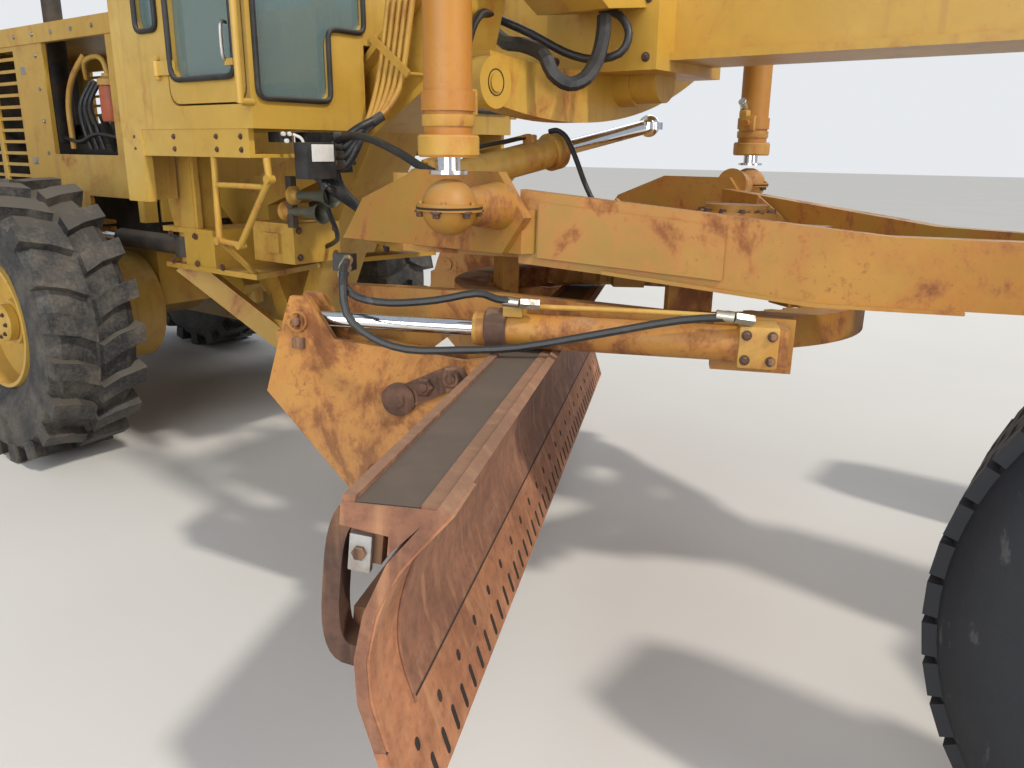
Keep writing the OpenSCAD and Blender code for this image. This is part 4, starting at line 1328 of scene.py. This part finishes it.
class CircleDetails:
    """Bands, blocks, tube and hose ends of the blade tip cylinder, and the links on the tip bracket."""

    TIP = Run(Vector((0.34, -0.845, 0.005)), Vector((-1.045, -0.845, 0.0)))
    # Pins of the links as pairs of X and Z, radius and sides of each head, and the links' outer face
    LINK_PINS = ((-0.555, -0.14), (-0.64, -0.175), (-0.72, -0.22))
    HEADS = ((0.034, 6), (0.030, 6), (0.050, 32))
    LINK_Y = -0.905

    def cylinder(self) -> None:
        """The barrel's band, end blocks, bolts and tube."""
        at, unit = self.TIP.at, self.TIP.unit
        band = Shape(CIRCLE)
        band.turned([(0, 0.060), (0.004, 0.064), (0.061, 0.064), (0.065, 0.060)], at(0.74), unit, 32)
        band.piece("tip_gland_band", "tip_barrel", "brown_rust")
        cap = Shape(CIRCLE)
        cap.turned([(0, 0.046), (0.004, 0.050), (0.02, 0.050)], at(0.822), unit, 32)
        cap.block((-0.06, -0.045, 0.045), (0.0, 0.045, 0.085), 0.006, Matrix.Translation(at(0.69)))
        cap.block((-0.055, -0.06, -0.06), (0.055, 0.06, 0.06), 0.008, Matrix.Translation(at(0.02)))
        cap.piece("tip_end_blocks", "tip_barrel", "yellow_cast")
        head = [Spot(at(0.02, (x, -0.061, z)), RIGHTWARD) for x in (-0.035, 0.035) for z in (-0.035, 0.035)]
        bolts("tip_block_bolts", "tip_barrel", 0.010, 0.010, head, CIRCLE)
        bends = ((0.66, 0.075), (0.40, 0.078), (0.12, 0.076), (0.03, 0.066))
        line = [at(way, (0, -0.01, rise)) for way, rise in bends]
        Shape(CIRCLE).tube(line, 0.008, 12).piece("tip_tube", "tip_barrel", "yellow_cast")

    def hose_ends(self) -> None:
        """Fittings at the ends of the CAD hoses along the cylinder."""
        fits = Shape(CIRCLE)
        for low, high in (((-0.355, -0.92, 0.096), (-0.30, -0.90, 0.092)),
                          ((0.246, -0.92, 0.090), (0.30, -0.90, 0.082))):
            fits.rod(low, high, 0.0165, 6)
            fits.rod(Vector(low) + Vector((-0.05, 0, 0.004)), low, 0.0155, 20)
        fits.rod((-0.91, -0.84, 0.163), (-0.90, -0.90, 0.147), 0.0155)
        fits.rod((-0.897, -0.86, 0.190), (-0.888, -0.92, 0.172), 0.0155)
        fits.piece("tip_hose_ends", "circle", "fitting")

    def pin_head(self) -> None:
        """The head and keeper of the pin at the rod's eye."""
        pin = Shape(CIRCLE)
        pin.turned([(0, 0.030), (0.010, 0.030), (0.012, 0.026)], (-1.045, -0.905, 0.0), RIGHTWARD, 28)
        pin.turned([(0, 0.013), (0.014, 0.013), (0.016, 0.010)], (-1.045, -0.915, 0.0), RIGHTWARD, 20)
        pin.block((-1.065, -0.918, -0.085), (-1.025, -0.905, -0.05), 0.004)
        pin.piece("tip_pin_head", "tip_bracket", "brown_rust")

    def links(self) -> None:
        """The link plate of the jaws with its three pins."""
        jaw = Shape(CIRCLE)
        for (x, z), (size, sides) in zip(self.LINK_PINS, self.HEADS):
            at = (x, self.LINK_Y, z)
            jaw.turned([(0, size), (0.022, size * 1.04), (0.030, size * 0.8)], at, RIGHTWARD, sides)
            jaw.turned([(0, size * 0.45), (0.036, size * 0.45), (0.038, size * 0.35)], at, RIGHTWARD, 20)
        first, last = Vector(self.LINK_PINS[0]), Vector(self.LINK_PINS[-1])
        run = (first - last).normalized() * 0.045
        side = Vector((-run.y, run.x)) * 0.8
        plate = [first + run + side * 0.4, first + side, last + side, last - run + side * 0.4,
                 last - run - side * 0.4, last - side, first - side, first + run - side * 0.4]
        jaw.prism([tuple(corner) for corner in plate], -0.921, -0.904)
        jaw.piece("jaw_links", "tip_bracket", "brown_rust")

    def build(self) -> None:
        """Make the details."""
        self.cylinder()
        self.hose_ends()
        self.pin_head()
        self.links()


class Cylinders:
    """Glands, ports, tubes and ferrules of the blade lift and centre shift cylinders."""

    SHIFT = Run(Vector((-2.56, -0.70, 1.40)), Vector((-2.22, 0.43, 1.64)))

    def lift(self, side: Side) -> None:
        """Details of one blade lift cylinder.

        Args:
            side: The side where it stands.
        """
        y, name = side.value * LIFT_Y, side.label
        inward = -side.value
        body = Shape()
        body.turned([(0, 0.081), (0.004, 0.084), (0.050, 0.084), (0.054, 0.081)], (LIFT_X, y, 1.523), UP, 40)
        body.turned([(0, 0.070), (0.004, 0.072), (0.03, 0.072)], (LIFT_X, y, 1.60), UP, 40)
        port = y + inward * 0.06
        body.block((-2.055, port - 0.026, 1.63), (-1.985, port + 0.026, 1.70), 0.006)
        body.turned([(0, 0.026), (0.006, 0.029), (0.03, 0.029), (0.034, 0.024)],
                    (-2.04, y + inward * 0.062, 1.69), UP, 6)
        body.turned([(0, 0.070), (0.012, 0.072), (0.03, 0.060), (0.04, 0.0)], (LIFT_X, y, 2.772), UP, 40)
        body.piece(f"lift_gland_{name}", f"lift_barrel_{name}", "yellow_cast")
        tube = Shape().tube([(-2.055, y + inward * 0.062, 2.70), (-2.075, y + inward * 0.075, 2.45),
                             (-2.075, y + inward * 0.085, 2.30)], 0.009)
        tube.piece(f"lift_tube_{name}", f"lift_barrel_{name}", "orange_paint")
        fit = Shape().rod((-2.04, y + inward * 0.05, 1.725), (-2.046, y + inward * 0.096, 1.765), 0.019, 20)
        fit.piece(f"lift_ferrule_{name}", f"lift_barrel_{name}", "fitting")

    def shift(self) -> None:
        """Details of the centre shift cylinder."""
        at, unit = self.SHIFT.at, self.SHIFT.unit
        ring = Shape()
        ring.turned([(0, 0.069), (0.004, 0.072), (0.05, 0.072), (0.054, 0.069)], at(0.643), unit, 36)
        for way in (0.56, 0.10):
            ring.turned([(0, 0.020), (0.03, 0.020), (0.034, 0.015)], at(way, (0, 0, 0.05)), UP, 20)
        ring.piece("shift_gland", "shift_barrel", "yellow_cast")
        tube = Shape()
        tube.tube([at(0.12, (0, 0, 0.078)), at(0.30, (0.01, 0, 0.088)), at(0.55, (0, 0, 0.078))], 0.008)
        tube.piece("shift_tube", "shift_barrel", "black_rubber")

    def build(self) -> None:
        """Make the details of every cylinder."""
        for side in Side:
            self.lift(side)
        self.shift()


class Plumbing:
    """Free hoses, the tube bundle on the riser, the horns and the fittings under the cab."""

    # Points that the free hoses pass, from where each leaves the object
    LIFT_ROUTE = (
        (-2.041, -1.012, 1.715), (-2.047, -0.998, 1.765), (-2.058, -0.98, 1.805), (-2.085, -0.93, 1.85),
        (-2.14, -0.84, 1.90), (-2.20, -0.72, 1.945), (-2.225, -0.60, 1.94), (-2.175, -0.50, 1.905),
        (-2.08, -0.45, 1.85), (-1.99, -0.42, 1.825), (-1.90, -0.40, 1.84), (-1.88, -0.38, 1.90),
        (-1.93, -0.36, 1.96), (-2.01, -0.34, 1.985),
    )
    LOW_ROUTE = (
        (-3.185, -0.48, 1.555), (-3.10, -0.49, 1.585), (-2.99, -0.515, 1.585), (-2.87, -0.56, 1.57),
        (-2.75, -0.60, 1.545), (-2.64, -0.63, 1.515), (-2.55, -0.655, 1.485), (-2.47, -0.665, 1.462),
    )
    HIGH_ROUTE = (
        (-2.37, -0.10, 1.608), (-2.335, -0.10, 1.612), (-2.295, -0.10, 1.59), (-2.262, -0.105, 1.545),
        (-2.23, -0.11, 1.49), (-2.19, -0.12, 1.42), (-2.14, -0.13, 1.35), (-2.08, -0.135, 1.29),
        (-2.01, -0.14, 1.25), (-1.94, -0.14, 1.234),
    )
    # Profiles of a horn's trumpet and of the drum behind it, as pairs of length and radius
    TRUMPET = ((0, 0.018), (0.08, 0.019), (0.15, 0.026), (0.20, 0.042), (0.212, 0.047), (0.206, 0.041),
               (0.15, 0.020), (0.13, 0.0))
    DRUM = ((0, 0.0), (0.002, 0.030), (0.012, 0.042), (0.020, 0.042), (0.030, 0.026), (0.05, 0.018),
            (0.055, 0.0))

    def hoses(self) -> None:
        """The hoses between the frame and the moving cylinders."""
        hose("lift_hose", "front_frame", "black_rubber", self.LIFT_ROUTE, 0.0135)
        hose("shift_hose_low", "front_frame", "black_rubber", self.LOW_ROUTE, 0.015)
        hose("shift_hose_high", "drawbar", "black_rubber", self.HIGH_ROUTE, 0.010)

    def bank(self) -> None:
        """Hoses and fittings between the valve bank and the riser."""
        lines = Shape()
        for k in range(4):
            end = self.tube_start(k)
            lines.tube([(-3.20, -0.47 - 0.02 * k, 1.585 - 0.036 * k), (-3.14, -0.46, 1.580 - 0.036 * k),
                        (-3.09, -0.42, end.z - 0.035), end], 0.018, 14)
        for k in range(5):
            lines.tube([(-3.22 - 0.02 * k, -0.44 - 0.02 * k, 1.45), (-3.20, -0.42 - 0.02 * k, 1.37),
                        (-3.14 - 0.01 * k, -0.36, 1.28), (-3.10, -0.28 - 0.01 * k, 1.20),
                        (-3.16, -0.22, 1.10)], 0.013, 12)
        lines.tube([(-3.24, -0.52, 1.46), (-3.22, -0.50, 1.30), (-3.28, -0.40, 1.18), (-3.42, -0.30, 1.12),
                    (-3.62, -0.26, 1.06)], 0.011, 12)
        lines.piece("bank_hoses", "front_frame", "black_rubber")
        ends = Shape()
        for k in range(4):
            end = self.tube_start(k)
            ends.rod((-3.182, -0.469 - 0.02 * k, 1.583 - 0.036 * k), (-3.145, -0.462, 1.581 - 0.036 * k),
                     0.022, 20)
            ends.rod(end + Vector((-0.008, -0.022, -0.014)), end + Vector((0.008, 0.022, 0.014)), 0.021, 20)
        ends.piece("bank_hose_ends", "front_frame", "dark_iron")

    def relays(self) -> None:
        """Capped relays with short leads by the valve bank, and a blank plate on its box."""
        caps = Shape()
        for y, z in ((-0.655, 1.592), (-0.685, 1.592), (-0.67, 1.565)):
            caps.rod((-3.251, y, z), (-3.238, y, z), 0.009, 16)
        caps.tube([(-3.238, -0.64, 1.59), (-3.21, -0.625, 1.575), (-3.205, -0.615, 1.545)], 0.006, 10)
        caps.tube([(-3.20, -0.60, 1.53), (-3.185, -0.585, 1.51), (-3.18, -0.575, 1.485)], 0.006, 10)
        caps.piece("relay_caps", "front_frame", "plate_white")
        plate = Shape().block((-3.105, -0.665, 1.487), (-3.100, -0.555, 1.553), 0.002)
        plate.piece("blank_plate", "front_frame", "plate_white")
        back = Shape().block((-3.18, -0.69, 1.42), (-3.106, -0.54, 1.56), 0.004)
        back.piece("plate_box", "front_frame", "gasket")

    def horns(self) -> None:
        """A pair of trumpet horns below the valve bank."""
        way = (1, 0, 0.02)
        for k, (x, z) in enumerate(((-3.20, 1.34), (-3.26, 1.27))):
            horn = Shape().turned(self.TRUMPET, (x - 0.20, -0.50, z), way, 28)
            horn.piece(f"horn_{k + 1}", "front_frame", "horn_metal")
            drum = Shape().turned(self.DRUM, (x - 0.25, -0.50, z), way, 28)
            drum.piece(f"horn_drum_{k + 1}", "front_frame", "yellow_cast")
        stay = Shape().block((-3.47, -0.515, 1.20), (-3.43, -0.485, 1.42), 0.003)
        stay.piece("horn_bracket", "front_frame", "dark_iron")

    @staticmethod
    def tube_start(k: int) -> Vector:
        """Where the hose of that number meets its steel tube at the riser's foot."""
        return Vector((-3.065 - 0.030 * k, -0.345 - 0.004 * k, 1.655 - 0.016 * k))

    def riser_tubes(self) -> None:
        """Steel tubes that run up the riser's right side, held by a slanting clip."""
        tubes = Shape()
        for k in range(5):
            off = 0.034 * k
            foot = self.tube_start(k)
            tubes.tube([foot, foot + Vector((0.015, 0.06, 0.055)), (-3.03 - off, -0.235, 1.80),
                        (-3.005 - off, -0.215, 1.97), (-2.975 - off, -0.21, 2.13)], 0.0125, 12)
        tubes.piece("riser_tubes", "front_frame", "yellow_cast")
        clip = Shape()
        clip.prism([(-3.20, 1.975), (-3.175, 1.995), (-2.97, 1.845), (-2.99, 1.820)], -0.243, -0.236)
        clip.rod((-3.185, -0.24, 1.982), (-3.185, -0.13, 1.982), 0.008)
        clip.rod((-2.985, -0.24, 1.836), (-2.985, -0.13, 1.836), 0.008)
        clip.piece("riser_clip", "front_frame", "yellow_cast")

    def build(self) -> None:
        """Make all hoses, tubes and fittings."""
        self.hoses()
        self.bank()
        self.relays()
        self.horns()
        self.riser_tubes()


class Cab:
    """Window gaskets, door pulls, cushions, wipers, lamps and gutters of the cab."""

    # Corners of the windows: pairs of X and Z on a side, of Y and Z ahead and behind
    DOOR = ((-3.745, 1.80), (-3.32, 1.80), (-3.32, 2.89), (-3.745, 2.89))
    QUARTER = ((-3.985, 2.0), (-3.835, 2.0), (-3.835, 2.9), (-3.985, 2.9))
    FRONT = ((0.43, 1.722), (0.79, 1.722), (0.79, 2.95), (0.23, 2.95), (0.23, 2.005), (0.43, 2.005))
    REAR = ((-0.64, 2.0), (0.64, 2.0), (0.64, 2.95), (-0.64, 2.95))
    GASKET = 0.011

    def gasket(self, name: str, body: str, corners: Sequence[Point], radius: float = 0.05) -> None:
        """A rubber gasket along the rounded edge of one window.

        Args:
            name: The piece's name.
            body: The body that carries it.
            corners: The window's corners in order.
            radius: Radius of its corners.
        """
        spots = []
        count = len(corners)
        for k, corner in enumerate(corners):
            here = Vector(corner)
            back = (Vector(corners[k - 1]) - here).normalized() * radius
            ahead = (Vector(corners[(k + 1) % count]) - here).normalized() * radius
            for t in (0, 0.25, 0.5, 0.75, 1):
                spots.append((1 - t) ** 2 * (here + back) + 2 * t * (1 - t) * here + t * t * (here + ahead))
        Shape().loop(spots, self.GASKET).piece(name, body, "gasket")

    def windows(self) -> None:
        """Gaskets of every window."""
        for side in Side:
            name, s = side.label, side.value
            quarter = [(x, s * 0.828, z) for x, z in self.QUARTER]
            front = [(-3.243, s * y, z) for y, z in self.FRONT]
            self.gasket(f"gasket_door_{name}", f"door_{name}", [(x, s * 0.834, z) for x, z in self.DOOR])
            self.gasket(f"gasket_quarter_{name}", "front_frame", quarter, 0.035)
            self.gasket(f"gasket_front_{name}", "front_frame", front, 0.04)
        self.gasket("gasket_rear", "front_frame", [(-4.207, y, z) for y, z in self.REAR])

    def cushions(self) -> None:
        """The seat's two cushions."""
        for name, low, high in (("seat_cushion", (-4.06, -0.235, 2.078), (-3.63, 0.235, 2.15)),
                                ("back_cushion", (-3.995, -0.225, 2.17), (-3.92, 0.225, 2.60))):
            piece = Shape().block(low, high, 0.03).piece(name, "front_frame", "seat_vinyl")

    def side_trim(self, side: Side) -> None:
        """Bolts along the skirt, the door pull, the wiper and the lamp of one side.

        Args:
            side: The side of the cab.
        """
        name, s = side.label, side.value
        skirt = [Spot((x, s * 0.8155, z), side.out) for x in (-4.10, -3.80, -3.50, -3.34)
                 for z in (1.53, 1.58)]
        bolts(f"skirt_bolts_{name}", "front_frame", 0.008, 0.006, skirt)
        handle = Shape()
        handle.tube([(-3.345, s * 0.838, 1.86), (-3.345, s * 0.862, 1.87), (-3.345, s * 0.862, 1.98),
                     (-3.345, s * 0.838, 1.99)], 0.007, 10)
        handle.piece(f"door_pull_{name}", f"door_{name}", "bare_steel")
        wiper = Shape()
        wiper.rod((-3.243, s * 0.50, 2.90), (-3.215, s * 0.50, 2.90), 0.016)
        wiper.tube([(-3.222, s * 0.50, 2.90), (-3.222, s * 0.47, 2.70), (-3.228, s * 0.40, 2.45)], 0.004, 8)
        wiper.block((-3.243, s * 0.38 - 0.006, 2.25), (-3.226, s * 0.38 + 0.006, 2.66), 0.002)
        wiper.piece(f"wiper_{name}", "front_frame", "gasket")
        lamp = Shape().turned([(0, 0.070), (0.004, 0.072), (0.010, 0.055), (0.012, 0.0)],
                              (-3.182, s * 0.62, 3.18), AHEAD, 32)
        lamp.piece(f"lamp_lens_{name}", "front_frame", "lamp_lens")

    def trim(self) -> None:
        """The trim of both sides, and the gutters along the roof."""
        for side in Side:
            self.side_trim(side)
        gutter = Shape()
        for side in Side:
            gutter.tube([(x, side.value * 0.828, 3.02) for x in (-4.17, -3.70, -3.27)], 0.007, 8)
        gutter.piece("cab_gutters", "front_frame", "cab_paint")

    def build(self) -> None:
        """Make all cab details."""
        self.windows()
        self.cushions()
        self.trim()


class Hood:
    """Bolts, service bay contents, latches and lamps of the rear hood."""

    # Rows of bolts on a side: their number, both ends as pairs of X and Z, and how far out they lie
    ROWS = (
        (12, (-7.12, 2.13), (-4.72, 2.13), 0.509), (7, (-7.12, 1.20), (-5.35, 1.20), 0.501),
        (5, (-7.13, 1.32), (-7.13, 2.02), 0.501), (5, (-5.60, 1.32), (-5.60, 2.02), 0.501),
        (4, (-4.70, 1.32), (-4.70, 2.02), 0.501),
    )

    def rows(self) -> None:
        """Bolts along the edges of the sides and of the top."""
        spots = []
        for side in Side:
            for count, (x, z), (end_x, end_z), y in self.ROWS:
                spots += row_of(count, (x, side.value * y, z), (end_x, side.value * y, end_z), side.out)
        for y in (-0.44, 0.44):
            spots += row_of(10, (-7.10, y, 2.181), (-4.72, y, 2.181), UP)
        bolts("hood_bolts", "rear_frame", 0.009, 0.006, spots, finish="bare_steel")

    def bay(self, side: Side) -> None:
        """Filter, pipes and hoses in one side's open bay, and the latches and lamp of that side.

        Args:
            side: The side of the hood.
        """
        s, name = side.value, side.label
        can = Shape()
        can.turned([(0, 0.0), (0.004, 0.046), (0.018, 0.052), (0.17, 0.052), (0.186, 0.047), (0.19, 0.0)],
                   (-5.00, s * 0.42, 1.66), UP, 32)
        can.piece(f"filter_{name}", "rear_frame", "filter_orange")
        head = Shape().turned([(0, 0.056), (0.03, 0.056), (0.045, 0.03), (0.06, 0.03)],
                              (-5.00, s * 0.42, 1.848), UP, 24)
        head.tube([(-5.00, s * 0.42, 1.90), (-5.03, s * 0.42, 1.97), (-5.12, s * 0.41, 2.00),
                   (-5.26, s * 0.40, 1.98), (-5.34, s * 0.36, 1.90)], 0.014)
        head.tube([(-4.94, s * 0.43, 1.88), (-4.90, s * 0.43, 1.80), (-4.90, s * 0.42, 1.62),
                   (-4.96, s * 0.38, 1.53)], 0.011)
        head.tube([(-5.44, s * 0.43, 1.52), (-5.44, s * 0.43, 1.75), (-5.38, s * 0.42, 1.90),
                   (-5.30, s * 0.38, 2.02)], 0.016)
        head.piece(f"bay_pipes_{name}", "rear_frame", "yellow_cast")
        dark = Shape()
        for k in range(3):
            dark.tube([(-5.10 - 0.07 * k, s * 0.43, 1.52), (-5.12 - 0.07 * k, s * 0.45, 1.64),
                       (-5.20 - 0.05 * k, s * 0.43, 1.76), (-5.16 - 0.05 * k, s * 0.38, 1.88)], 0.012, 12)
        dark.tube([(-5.50, s * 0.44, 1.58), (-5.30, s * 0.46, 1.56), (-5.10, s * 0.46, 1.60),
                   (-4.88, s * 0.43, 1.57)], 0.010, 12)
        dark.piece(f"bay_hoses_{name}", "rear_frame", "black_rubber")
        latch = Shape()
        for z in (1.45, 1.95):
            latch.block((-5.80, s * 0.50 - 0.004, z - 0.02), (-5.74, s * 0.50 + 0.014, z + 0.02), 0.003)
        latch.piece(f"hood_latches_{name}", "rear_frame", "bare_steel")
        lamp = Shape().block((-7.216, s * 0.46 - 0.05, 1.98), (-7.199, s * 0.46 + 0.05, 2.06), 0.004)
        lamp.piece(f"tail_lamp_{name}", "rear_frame", "lamp_red")

    def build(self) -> None:
        """Make the details."""
        self.rows()
        for side in Side:
            self.bay(side)


class Wheels:
    """Hub covers, bolts and valve stems of the six wheels, and the front tyres with their tread."""

    # Depth of the front tyres' tread, lugs round the tyre, and where the rows of lugs lie across it
    TREAD = 0.022
    LUGS = 48
    LUG_ROWS = (-0.14, -0.07, 0.0, 0.07, 0.14)

    def front_tyre(self, side: Side) -> None:
        """A front tyre with grooved tread, in place of the plain CAD solid.

        Args:
            side: The tyre's side.
        """
        y, name = side.value * TRACK, side.label
        crown = AXLE_Z - self.TREAD
        wall = [(-0.205, 0.33), (-0.205, 0.43), (-0.214, 0.50), (-0.214, 0.56), (-0.21, 0.61),
                (-0.185, crown - 0.016), (-0.16, crown)]
        bead = [(0.19, 0.323), (-0.19, 0.323)]
        profile = wall + [(-across, radius) for across, radius in reversed(wall)] + bead
        body = Shape().ringed(profile, (0, y, AXLE_Z), side.out, 96)
        # Casing and tread take the darker front tyre rubber, which is painted shade
        casing = body.piece(f"front_casing_{name}", f"wheel_front_{name}", "tyre_dark")
        outline = [(-0.031, -0.033), (0.031, -0.039), (0.031, 0.033), (-0.031, 0.039)]
        lug = Shape(Matrix()).prism(outline, -0.012, self.TREAD - 0.0015, "XY")
        spots = []
        for k in range(self.LUGS):
            for row, across in enumerate(self.LUG_ROWS):
                angle = math.tau * (k + 0.5 * (row % 2)) / self.LUGS
                way = Vector((math.cos(angle), 0, math.sin(angle)))
                spots.append(Spot(Vector((0, y + across, AXLE_Z)) + way * crown, way, side.out))
        Repeater.lay(f"front_tread_{name}", f"wheel_front_{name}", "tyre_dark", lug, spots, smooth=False)
        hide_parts(f"tyre_front_{name}")

    def hub(self, name: str, x: float, y: float, side: Side) -> None:
        """Hub cover, bolts and valve of one wheel.

        Args:
            name: The wheel's name.
            x: Where its axle lies along the machine.
            y: Its middle across the machine.
            side: The side of the machine.
        """
        s = side.value
        profile = [(0, 0.085), (0.008, 0.092), (0.045, 0.092), (0.055, 0.082), (0.062, 0.040), (0.064, 0.0)]
        cover = Shape().turned(profile, (x, y + s * 0.088, AXLE_Z), side.out, 40)
        cover.piece(f"hub_cover_{name}", f"wheel_{name}", "yellow_rim")
        ring = ring_of(8, 0.066, (x, y + s * 0.146, AXLE_Z), side.out)
        bolts(f"hub_bolts_{name}", f"wheel_{name}", 0.008, 0.008, ring)
        stem = Shape()
        stem.rod((x + 0.20, y + s * 0.01, AXLE_Z + 0.14), (x + 0.21, y + s * 0.075, AXLE_Z + 0.15), 0.006, 12)
        stem.piece(f"valve_{name}", f"wheel_{name}", "bare_steel")

    def build(self) -> None:
        """Make the details of every wheel."""
        for side in Side:
            self.hub(f"front_{side.label}", 0.0, side.value * TRACK, side)
            for k, x in enumerate(REAR_AXLES):
                self.hub(f"rear_{k + 1}_{side.label}", x, side.value * TRACK, side)


class FrameDetails:
    """Pin rings of the link bar, and bolts of the beam, the low frame, the tandem cases and the tail."""

    def build(self) -> None:
        """Make the details."""
        rings = Shape()
        section = [(0, 0.036), (0, 0.039), (0.0015, 0.039), (0.0015, 0.036)]
        for y, z in ((-0.8, 1.735), (0.8, 1.98)):
            rings.ringed(section, (-2.0895, y, z), AHEAD, 40)
        rings.piece("link_pin_rings", "front_frame", "hole_dark")
        spots = []
        for side in Side:
            s = side.value
            spots += row_of(6, (-2.25, s * 0.235, 2.0605), (-1.87, s * 0.235, 2.0605), UP)
            spots += [Spot((x, s * 0.2605, z), side.out) for x in (-2.24, -2.06, -1.88) for z in (1.84, 2.02)]
            spots += [Spot((x, s * 0.601, z), side.out) for x in (-4.25, -4.05, -3.85) for z in (1.0, 1.13)]
            spots += [Spot((-3.489, s * y, z), AHEAD) for y in (0.23, 0.44) for z in (1.06, 1.18)]
        bolts("frame_bolts", "front_frame", 0.011, 0.009, spots)
        rear = []
        for side in Side:
            s = side.value
            rear += ring_of(12, 0.20, (-5.66, s * 0.681, AXLE_Z), side.out, 15)
            rear += row_of(4, (-7.2205, s * 0.18, 0.72), (-7.2205, s * 0.18, 0.98), ASTERN)
        bolts("rear_bolts", "rear_frame", 0.012, 0.010, rear)


def dress_frame(frame: dict) -> None:
    """Give every CAD node its finish, by its own entry or by the kind of part it is.
    """
    for name, node in frame["nodes"].items():
        kind = next((finish for word, finish in KIND_FINISH.items() if word in name), "yellow_paint")
        finish = CAD_FINISH.get(name, kind)
        for slot in node.material_slots:
            slot.material = Finishes.get(finish)
        LOG.info("%s finished in %s", name, finish)


def glaze_doors() -> None:
    """Panes laid over both faces of the doors' glass."""
    for side in Side:
        low, high = sorted((side.value * 0.7935, side.value * 0.8005))
        pane = Shape().prism(rounded_at(-3.5325, 2.345, 0.425, 1.09, 0.05), low, high)
        pane.piece(f"pane_{side.label}", f"door_{side.label}", "glass")


@dataclass(frozen=True)
class Eye:
    """The photograph's camera.

    Attributes:
        at: Its place, in the machine's own coordinates.
        yaw: Turn from straight astern towards the left side, in radians.
        pitch: Tilt downwards, in radians.
        roll: Turn about the line of sight, in radians.
        lens: Focal length in millimetres.
    """

    at: Point = (-0.470347, -2.882863, 1.546263)
    yaw: float = 0.9309687
    pitch: float = 0.2777654
    roll: float = 0.0085522
    lens: float = 29.13

    def build(self) -> None:
        """Set the scene's camera up."""
        right = Vector((math.sin(self.yaw), math.cos(self.yaw), 0))
        level = Vector((-math.cos(self.yaw), math.sin(self.yaw), 0))
        ahead = level * math.cos(self.pitch) + Vector(DOWN) * math.sin(self.pitch)
        up = right.cross(ahead)
        cr, sr = math.cos(self.roll), math.sin(self.roll)
        right, up = right * cr + up * sr, up * cr - right * sr
        data = bpy.data.cameras.new("photo_eye")
        data.lens = self.lens
        data.clip_start = 0.05
        camera = bpy.data.objects.new("photo_eye", data)
        turn = Matrix((right, up, -ahead)).transposed().to_4x4()
        camera.matrix_world = Matrix.Translation(MACHINE @ Vector(self.at)) @ turn
        bpy.context.scene.collection.objects.link(camera)
        bpy.context.scene.camera = camera


class Studio:
    """Pale floor, a sun with soft lamps, and a pale background."""

    # Half the floor's width, and the way the sunlight travels
    FLOOR_HALF = 60.0
    SUN_WAY = Vector((-0.72, 0.10, -0.80))
    # Soft areas with their place, size and power, all aimed at one point of the machine
    AREAS = (("soft_right", (3.5, -9.0, 4.0), 7.0, 560.0), ("soft_front", (11.0, -1.0, 4.0), 6.0, 380.0),
             ("soft_left", (0.0, 9.0, 7.0), 8.0, 300.0))
    AIM = Vector((0.0, 0.3, 1.0))

    def floor(self) -> None:
        """A large, faintly mottled floor that isn't part of the machine."""
        mesh = bpy.data.meshes.new("floor")
        corners = [(self.FLOOR_HALF * x, self.FLOOR_HALF * y, 0) for x,
                   y in ((-1, -1), (1, -1), (1, 1), (-1, 1))]
        mesh.from_pydata(corners, [], [(0, 1, 2, 3)])
        g = Graph("floor_finish")
        tone = g.mix(g.step(g.noise(0.7, 5), 0.3, 0.7, 0.3), (0.62, 0.60, 0.56), (0.56, 0.53, 0.49))
        mesh.materials.append(g.shade(tone, 0.85))
        floor = bpy.data.objects.new("floor", mesh)
        bpy.context.scene.collection.objects.link(floor)

    def lamps(self) -> None:
        """A warm sun from ahead of the machine, and large soft areas."""
        sun = bpy.data.lights.new("sun", "SUN")
        sun.energy = 2.1
        sun.angle = math.radians(4)
        sun.color = (1.0, 0.95, 0.87)
        lamp = bpy.data.objects.new("sun", sun)
        lamp.rotation_euler = self.SUN_WAY.to_track_quat("-Z", "Y").to_euler()
        bpy.context.scene.collection.objects.link(lamp)
        for name, at, size, power in self.AREAS:
            area = bpy.data.lights.new(name, "AREA")
            area.size = size
            area.energy = power
            box = bpy.data.objects.new(name, area)
            box.location = at
            box.rotation_euler = (self.AIM - Vector(at)).to_track_quat("-Z", "Y").to_euler()
            bpy.context.scene.collection.objects.link(box)

    def sky(self) -> None:
        """Even light from all round, seen as a pale backdrop."""
        world = bpy.data.worlds.new("studio")
        bpy.context.scene.world = world
        world.use_nodes = True
        tree = world.node_tree
        tree.nodes.clear()
        path, mix = tree.nodes.new("ShaderNodeLightPath"), tree.nodes.new("ShaderNodeMixShader")
        seen, light = tree.nodes.new("ShaderNodeBackground"), tree.nodes.new("ShaderNodeBackground")
        seen.inputs["Color"].default_value = (0.80, 0.82, 0.85, 1)
        light.inputs["Color"].default_value = (0.72, 0.80, 0.92, 1)
        light.inputs["Strength"].default_value = 0.55
        out = tree.nodes.new("ShaderNodeOutputWorld")
        tree.links.new(path.outputs["Is Camera Ray"], mix.inputs[0])
        tree.links.new(light.outputs[0], mix.inputs[1])
        tree.links.new(seen.outputs[0], mix.inputs[2])
        tree.links.new(mix.outputs[0], out.inputs[0])

    def build(self) -> None:
        """Make the floor, the lamps and the sky."""
        self.floor()
        self.lamps()
        self.sky()
        bpy.context.scene.view_settings.view_transform = "Standard"


def main() -> None:
    """Dress the frame, add the details, and set the stage."""
    logging.basicConfig(level=logging.INFO, format="%(message)s")
    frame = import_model()
    dress_frame(frame)
    Blade().build()
    DrawbarDetails().build()
    CircleDetails().build()
    Cylinders().build()
    Plumbing().build()
    Cab().build()
    glaze_doors()
    Hood().build()
    wheels = Wheels()
    wheels.build()
    for side in Side:
        wheels.front_tyre(side)
    FrameDetails().build()
    Studio().build()
    Eye().build()


if __name__ == "__main__":
    main()
